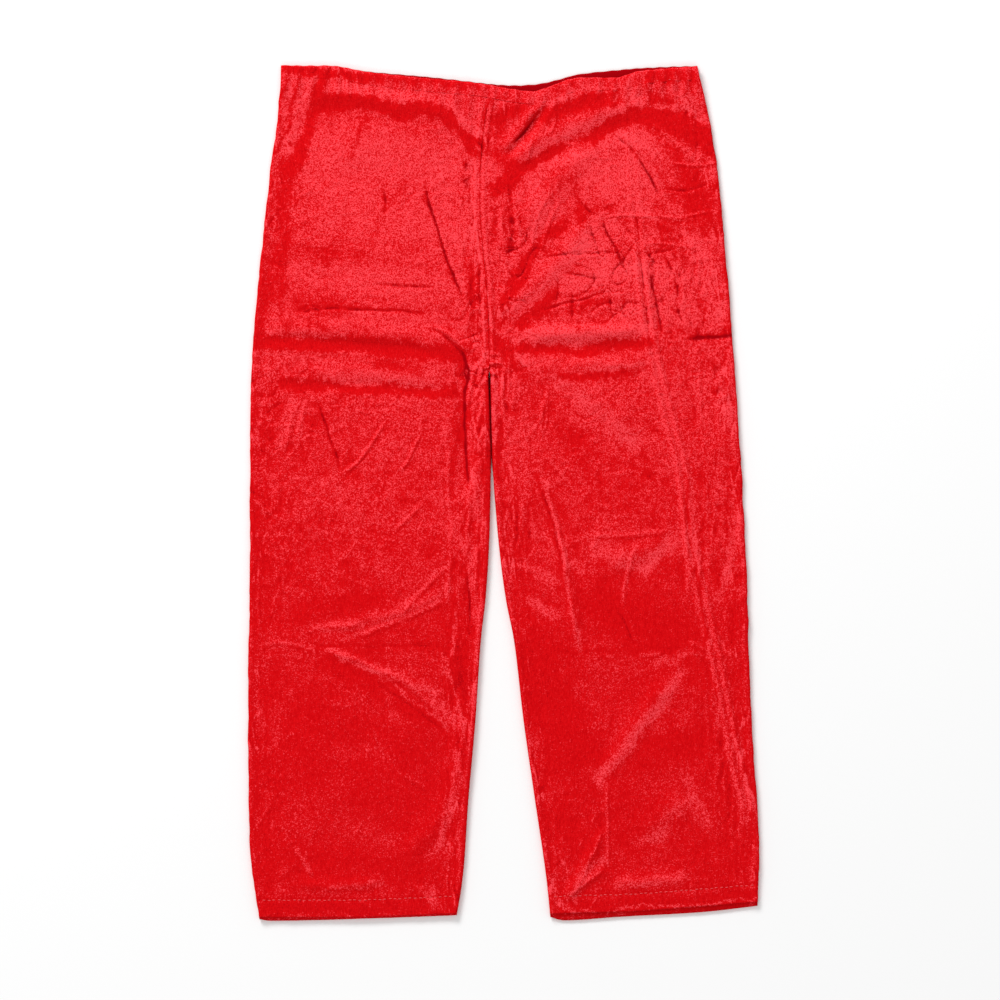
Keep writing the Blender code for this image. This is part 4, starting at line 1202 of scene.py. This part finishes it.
def grid_object(name, x, down, z, looks, material, outward):
    """A sheet through rows and columns of points, with the values that its material reads."""
    rows, columns = x.shape
    grid = bmesh.new()
    bmesh.ops.create_grid(grid, x_segments=columns - 1, y_segments=rows - 1, size=0.5)
    thing = mesh_object(name, grid, material)
    mesh = thing.data
    places = np.empty(len(mesh.vertices) * 3, np.float32)
    mesh.vertices.foreach_get("co", places)
    places = places.reshape(-1, 3)
    i = np.rint((places[:, 0] + 0.5) * (columns - 1)).astype(int)
    j = np.rint((0.5 - places[:, 1]) * (rows - 1)).astype(int)
    points = np.stack([(x - MIDDLE_X) * MM, (MIDDLE_DOWN - down) * MM, z * MM], axis=-1)
    mesh.vertices.foreach_set("co", points[j, i].astype(np.float32).ravel())
    for label, values in looks.items():
        made = mesh.attributes.new(label, "FLOAT", "POINT")
        made.data.foreach_set("value", values[j, i].astype(np.float32))
    ends = np.empty(len(mesh.edges) * 2, np.int32)
    mesh.edges.foreach_get("vertices", ends)
    top_edges = (j[ends.reshape(-1, 2)] == 0).all(axis=1)
    sharp = mesh.attributes.new("sharp_edge", "BOOLEAN", "EDGE")
    sharp.data.foreach_set("value", top_edges)
    mesh.update()
    if outward < 0:
        mesh.flip_normals()
    mesh.shade_smooth()
    return thing, j, i


def thicken(thing, wall):
    """Gives a sheet its wall, inwards from its outer face."""
    solid = thing.modifiers.new("wall", "SOLIDIFY")
    solid.thickness = wall * MM
    solid.offset = -1
    return solid


def coarsen_inside(panel, wall):
    """Fewer faces on the wrong side of the cloth, where nothing shows."""
    inside = panel.vertex_groups.new(name="inside")
    wall.shell_vertex_group = inside.name
    fewer = panel.modifiers.new("fewer_inside", "DECIMATE")
    fewer.vertex_group = inside.name
    fewer.vertex_group_factor = 1.0
    fewer.ratio = INSIDE_RATIO


def seat(piece, node_name):
    """Puts a piece of cloth in its solid's place."""
    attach(piece, BODY)
    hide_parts(node_name)


def add_panel(side, face, material, stitching):
    x, down, z, looks, from_hem = panel_arrays(side, face)
    outward = 1 if face == "front" else -1
    name = f"{face}_{side}"
    panel, j, i = grid_object(f"{name}_cloth", x, down, z, looks, material, outward)
    thickness = panel.vertex_groups.new(name="thickness")
    turned_up = np.flatnonzero(from_hem[j, i] < HEM_DEPTH)
    single = np.flatnonzero(from_hem[j, i] >= HEM_DEPTH)
    thickness.add(turned_up.tolist(), 1.0, "REPLACE")
    thickness.add(single.tolist(), WALL / HEM_WALL, "REPLACE")
    wall = thicken(panel, HEM_WALL)
    wall.vertex_group = thickness.name
    if face == "front":
        coarsen_inside(panel, wall)
        places = hem_stitch_places(side, (x, down, z))
        add_stitches(f"hem_stitches_{side}", places, stitching, HEM_STITCH)
    seat(panel, name)
    return panel


def casing_arrays(face):
    """x, down, z and looks of the waist casing, as rows along the waist and columns around it."""
    left, right = outseam("left", 0), outseam("right", 0)
    middle = np.arange(left + BAND_NOSE + 1, right - BAND_NOSE, CASING_STEP)
    x = np.concatenate([left + CASING_NOSE, middle, right - CASING_NOSE[::-1]])[:, None]
    from_end = np.minimum(x - left, right - x)
    full = 0.35 + 0.65 * np.sqrt(np.clip(1 - (1 - np.clip(from_end / BAND_NOSE, 0, 1)) ** 2, 0, 1))
    around = np.linspace(0, len(CASING_SECTION), CASING_AROUND + 1)[None, :]
    knots = np.arange(len(CASING_SECTION) + 1)
    point = {
        name: np.interp(around, knots, column(CASING_SECTION + CASING_SECTION[:1], name))
        for name in CASING_SECTION[0]._fields
    }
    wave = gather_wave(x)
    lift = casing_lift(x, point["down"])
    pucker = (lift - GATHER_ON_BAND * wave) / PUCKER_HEIGHT
    slack = lattice_noise(x, 0 * x, *CASING_SLACK) - 0.5
    waist = edge_down(WAISTS[face], x)
    down = waist + point["down"]
    down = down + (0.7 * GATHER_ON_EDGE * (1 - wave) + 0.9 * slack) * point["on_edge"]
    out = BAND_THICK / 2 + (point["out"] - BAND_THICK / 2) * full
    if face == "front":
        z = BAND_THICK + SEAM_GAP + out + lift * point["on_outer"]
    else:
        lift = GATHER_ON_BAND * (1 - wave) / 2 + 0.3 * (pucker + 0.5)
        z = BAND_THICK - out + lift * point["on_outer"]
    from_top = np.maximum(down - waist, 0)
    left_here, right_here = outseam("left", from_top), outseam("right", from_top)
    x = left_here + (x - left) * (right_here - left_here) / (right - left)
    # Painted light on the crests of the gathers and puckers, painted shade in their hollows and on the
    # back casing
    light = CASING_LIGHT[face] + 0.10 * wave + 0.5 * pucker + 0.3 * slack + 0 * z
    light = light + painted_patches(x, down)
    shade = CASING_SHADE[face] + np.clip(-0.5 * pucker - 0.1, 0, 0.4)
    looks = {"tone_sheen_and_shade": light, "painted_crevice_shade": shade + 0 * z, "cracked": 0 * z, "drawn": 0.6 + 0 * z}
    return x, down, z, looks


def add_casing(face, material, stitching):
    """The waist casing: a tube of cloth round its elastic, drawn in by the gathers."""
    x, down, z, looks = casing_arrays(face)
    tube, _, _ = grid_object(f"waistband_{face}_cloth", x, down, z, looks, material, 1)
    close_tube(tube.data)
    thicken(tube, CASING_WALL)
    seat(tube, f"waistband_{face}")
    if face == "front":
        places = casing_stitch_places()
        add_stitches("casing_stitches", places, stitching, CASING_STITCH)
    return tube


def close_tube(mesh):
    """Joins the first and last column of a sheet that runs all the way round."""
    tube = bmesh.new()
    tube.from_mesh(mesh)
    bmesh.ops.remove_doubles(tube, verts=tube.verts, dist=1e-6)
    bmesh.ops.recalc_face_normals(tube, faces=tube.faces)
    for face in tube.faces:
        face.smooth = True
    tube.to_mesh(mesh)
    tube.free()


def surface_at(arrays, x, down):
    """Height of a panel's face at a place, from its rows and columns."""
    xs, downs, zs = arrays
    row = np.argmin(np.abs(downs[:, downs.shape[1] // 2] - down))
    pitch = np.diff(downs[:, 0]).mean()
    row = row + round((down - np.interp(x, xs[row], downs[row])) / pitch)
    row = min(max(row, 0), len(xs) - 1)
    return float(np.interp(x, xs[row], zs[row]))


def add_stitches(name, places, material, length):
    """A line of stitches, each a plump thread half sunk in the pile."""
    threads = bmesh.new()
    for x, down, z, angle in places:
        place = ((x - MIDDLE_X) * MM, (MIDDLE_DOWN - down) * MM, z * MM)
        size = (length / 2 * MM, THREAD / 2 * MM, THREAD / 2 * MM)
        shape = Matrix.LocRotScale(Vector(place), Euler((0, 0, -angle)), Vector(size))
        bmesh.ops.create_uvsphere(threads, u_segments=8, v_segments=6, radius=1, matrix=shape)
    for face in threads.faces:
        face.smooth = True
    thing = mesh_object(name, threads, material)
    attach(thing, BODY)
    return thing


def edge_angle(table, x):
    """How an edge slopes at x, as the angle of the stitches that follow it."""
    return float(np.arctan(edge_down(table, x + 1) - edge_down(table, x)))


def hem_stitch_places(side, arrays):
    hem = HEMS[f"front_{side}"]
    start, end = hem[0].x + HEM_STITCH_INSET, hem[-1].x - HEM_STITCH_INSET
    places = []
    for k, x in enumerate(np.arange(start, end, HEM_STITCH_PITCH)):
        x = x + 0.5 * np.sin(2.3 * k)
        down = edge_down(hem, x) - HEM_STITCH_UP + 0.35 * np.sin(1.7 * k)
        places.append((x, float(down), surface_at(arrays, x, down) + 0.1, edge_angle(hem, x)))
    return places


def casing_stitch_places():
    waist = WAISTS["front"]
    start, end = outseam("left", 0) + CASING_STITCH_INSET, outseam("right", 0) - CASING_STITCH_INSET
    places = []
    for k, x in enumerate(np.arange(start, end, CASING_STITCH_PITCH)):
        down = edge_down(waist, x) + BAND_DEPTH - CASING_STITCH_UP + 0.2 * np.sin(2.1 * k)
        z = BAND_THICK + SEAM_GAP + CASING_STITCH_LIFT + 0.5 * GATHER_ON_BAND * gather_wave(x)
        places.append((x, float(down), float(z), edge_angle(waist, x)))
    return places


def give(tree, socket, value):
    """Sets an input to a number or colour, or links it to another node's output."""
    if isinstance(value, bpy.types.NodeSocket):
        tree.links.new(value, socket)
    else:
        socket.default_value = value


def node(tree, kind, **values):
    """A node with its settings and, under names such as From_Min, its inputs."""
    made = tree.nodes.new(kind)
    for name, value in values.items():
        if hasattr(made, name):
            setattr(made, name, value)
        else:
            give(tree, made.inputs[name.replace("_", " ")], value)
    return made


def attribute(tree, name):
    return node(tree, "ShaderNodeAttribute", attribute_name=name).outputs["Fac"]


def noise(tree, place, texture):
    inputs = {name.title(): value for name, value in texture._asdict().items()}
    return node(tree, "ShaderNodeTexNoise", Vector=place, **inputs).outputs["Fac"]


def maths(tree, operation, *values):
    made = node(tree, "ShaderNodeMath", operation=operation)
    for socket, value in zip(made.inputs, values):
        give(tree, socket, value)
    return made.outputs[0]


def plus_noise(tree, field, share, base):
    """Adds a noise, as far as it is off its middle, to a value."""
    return maths(tree, "MULTIPLY_ADD", maths(tree, "SUBTRACT", field, 0.5), share, base)


def spread(tree, value, low, high):
    """0 below low, 1 above high and smooth between them."""
    limits = {"From_Min": low, "From_Max": high}
    made = node(tree, "ShaderNodeMapRange", interpolation_type="SMOOTHSTEP", Value=value, **limits)
    return made.outputs["Result"]


def mixed(tree, share, first, second):
    made = node(tree, "ShaderNodeMix", data_type="RGBA")
    for index, value in ((0, share), (6, first), (7, second)):
        give(tree, made.inputs[index], value)
    return made.outputs[2]


def moved(tree, place, stretch=(1.0, 1.0, 1.0), shift=(0.0, 0.0, 0.0)):
    made = node(tree, "ShaderNodeMapping", Vector=place, Location=shift, Scale=stretch)
    return made.outputs["Vector"]


def crack_lines(tree, place, net):
    """What a net of cracks adds to the painted light: each is a line of painted shade with a painted
    highlight on the lip at its lower side.
    """
    place = moved(tree, place, net.stretch)
    wander = node(tree, "ShaderNodeTexNoise", Vector=place, Scale=0.8 * net.scale, Detail=2.0)
    reach = node(tree, "ShaderNodeVectorMath", operation="SCALE", Scale=0.9 / net.scale)
    tree.links.new(wander.outputs["Color"], reach.inputs[0])
    strayed = node(tree, "ShaderNodeVectorMath", operation="ADD")
    tree.links.new(place, strayed.inputs[0])
    tree.links.new(reach.outputs[0], strayed.inputs[1])
    lines = []
    for shift in ((0.0, 0.0, 0.0), LIP_SHIFT):
        shifted = moved(tree, strayed.outputs[0], shift=shift)
        cells = node(tree, "ShaderNodeTexVoronoi", feature="DISTANCE_TO_EDGE", Vector=shifted)
        cells.inputs["Scale"].default_value = net.scale
        lines.append(spread(tree, cells.outputs["Distance"], net.width, 0.0))
    lit = maths(tree, "MULTIPLY", lines[1], CRACK_LIP_HIGHLIGHT)
    return maths(tree, "MULTIPLY_ADD", lines[0], -CRACK_SHADE, lit)


def new_material(name):
    material = bpy.data.materials.new(name)
    material.use_nodes = True
    return material, material.node_tree, material.node_tree.nodes["Principled BSDF"]


def add_bump(tree, shader, height, strength, distance):
    bump = node(tree, "ShaderNodeBump", Strength=strength, Distance=distance, Height=height)
    tree.links.new(bump.outputs["Normal"], shader.inputs["Normal"])


def velvet():
    """Crushed velvet: the pile's tone with patches of painted sheen and painted shade, broken up by its
    grain.
    """
    material, tree, shader = new_material("crushed_velvet")
    place = node(tree, "ShaderNodeTexCoord").outputs["Object"]
    # The pile's tone with its painted sheen and shade, and painted shade in creases, as the mesh carries
    # them
    tone_sheen_and_shade, groove = attribute(tree, "tone_sheen_and_shade"), attribute(tree, "painted_crevice_shade")
    grain = noise(tree, place, GRAIN)
    rib = noise(tree, moved(tree, place, RIB_STRETCH), RIBS)
    # The nets of cracks and wrinkles paint shade in their lines and highlights on their lips
    net = crack_lines(tree, place, CRACK_NET)
    wrinkles = crack_lines(tree, place, WRINKLE_NET)
    patchy = spread(tree, noise(tree, place, PATCHES), *PATCH_RANGE)
    net_share = maths(tree, "MULTIPLY", patchy, attribute(tree, "cracked"))
    wrinkle_share = maths(tree, "MULTIPLY", patchy, attribute(tree, "drawn"))
    speckle = maths(tree, "MULTIPLY", maths(tree, "SUBTRACT", grain, 0.5), GRAIN_SHARE)
    speckle = plus_noise(tree, noise(tree, place, CLUMPS), CLUMP_SHARE, speckle)
    speckle = plus_noise(tree, noise(tree, place, PILE_FLECKS), PILE_FLECK_SHARE, speckle)
    roused = spread(tree, tone_sheen_and_shade, *CALM_RANGE)
    roused = maths(tree, "MULTIPLY_ADD", roused, 1 - CALM_SPECKLE, CALM_SPECKLE)
    pattern = maths(tree, "MULTIPLY_ADD", speckle, roused, tone_sheen_and_shade)
    pattern = maths(tree, "MULTIPLY_ADD", net, net_share, pattern)
    pattern = maths(tree, "MULTIPLY_ADD", wrinkles, wrinkle_share, pattern)
    lit = spread(tree, pattern, *LIT_RANGE)
    colour = mixed(tree, spread(tree, rib, *RIB_RANGE), DEEP_RED, MID_RED)
    # Painted sheen where the pattern is light, painted highlights where it is lightest
    colour = mixed(tree, lit, colour, LIT_RED)
    colour = mixed(tree, spread(tree, pattern, *GLINT_RANGE), colour, GLINT_RED)
    # The darkest red: painted shade in creases, and the pile's darkest pits
    pits_and_shade = spread(tree, maths(tree, "SUBTRACT", groove, pattern), *PIT_AND_SHADE_RANGE)
    colour = mixed(tree, pits_and_shade, colour, PIT_AND_SHADE_RED)
    # Painted shade in the creases
    colour = mixed(tree, spread(tree, groove, *CREVICE_SHADE_RANGE), colour, PIT_AND_SHADE_RED)
    tree.links.new(colour, shader.inputs["Base Color"])
    rough = node(tree, "ShaderNodeMapRange", Value=lit, To_Min=PILE_ROUGH[0], To_Max=PILE_ROUGH[1])
    tree.links.new(rough.outputs["Result"], shader.inputs["Roughness"])
    for name, value in PILE_SHADER.items():
        shader.inputs[name].default_value = value
    pile = maths(tree, "MULTIPLY_ADD", grain, 0.8, maths(tree, "MULTIPLY", rib, 0.5))
    pile = maths(tree, "MULTIPLY_ADD", net, net_share, pile)
    add_bump(tree, shader, pile, PILE_BUMP, PILE_BUMP_DISTANCE)
    return material


def thread():
    """Red sewing thread: two plies that shine a little."""
    material, tree, shader = new_material("sewing_thread")
    place = node(tree, "ShaderNodeTexCoord").outputs["Object"]
    twist = noise(tree, place, THREAD_TWIST)
    tree.links.new(mixed(tree, twist, THREAD_DARK, THREAD_LIGHT), shader.inputs["Base Color"])
    shader.inputs["Roughness"].default_value = THREAD_ROUGH
    add_bump(tree, shader, twist, THREAD_BUMP, THREAD_BUMP_DISTANCE)
    return material


def add_floor():
    material, _, shader = new_material("floor_paper")
    shader.inputs["Base Color"].default_value = FLOOR_WHITE
    shader.inputs["Roughness"].default_value = FLOOR_ROUGH
    shader.inputs["Specular IOR Level"].default_value = 0.0
    grid = bmesh.new()
    bmesh.ops.create_grid(grid, x_segments=1, y_segments=1, size=FLOOR_HALF)
    floor = mesh_object("floor", grid, material)
    floor.location.z = FLOOR_DOWN


def add_light(name, place, size, power):
    """A soft light that faces the middle of the cloth."""
    lamp = bpy.data.lights.new(name, "AREA")
    lamp.shape = "RECTANGLE"
    lamp.size, lamp.size_y = size
    lamp.energy = power
    thing = new_object(name, lamp)
    thing.location = place
    thing.rotation_euler = (-Vector(place)).to_track_quat("-Z", "Y").to_euler()


def add_camera():
    """Looks straight down, so that each pixel shows the same place as the photograph's."""
    middle_x = (PHOTO_WIDTH_PIXELS / 2 - PHOTO_ZERO_X_PIXEL) * PHOTO_PIXEL
    middle_down = (PHOTO_WIDTH_PIXELS / 2 - PHOTO_ZERO_DOWN_PIXEL) * PHOTO_PIXEL
    camera = bpy.data.cameras.new("camera")
    camera.sensor_width = CAMERA_SENSOR
    camera.lens = CAMERA_SENSOR * CAMERA_HEIGHT / (PHOTO_WIDTH_PIXELS * PHOTO_PIXEL * MM)
    camera.clip_end = 100
    thing = new_object("camera", camera)
    thing.location = ((middle_x - MIDDLE_X) * MM, (MIDDLE_DOWN - middle_down) * MM, CAMERA_HEIGHT)
    bpy.context.scene.camera = thing


def set_light_and_view():
    world = bpy.data.worlds.new("studio")
    world.use_nodes = True
    background = world.node_tree.nodes["Background"]
    background.inputs["Color"].default_value = BACKDROP_WHITE
    background.inputs["Strength"].default_value = WORLD_LIGHT
    bpy.context.scene.world = world
    add_light("key", KEY_PLACE, KEY_SIZE, KEY_POWER)
    add_light("fill", FILL_PLACE, FILL_SIZE, FILL_POWER)
    view = bpy.context.scene.view_settings
    view.view_transform = "Standard"
    view.look = "None"
    view.exposure = 0.0


def main():
    add_camera()
    set_light_and_view()
    add_floor()
    cloth, stitching = velvet(), thread()
    for side in ("left", "right"):
        back = add_panel(side, "back", cloth, stitching)
        add_panel(side, "front", cloth, stitching)
    back_casing = add_casing("back", cloth, stitching)
    add_casing("front", cloth, stitching)


main()
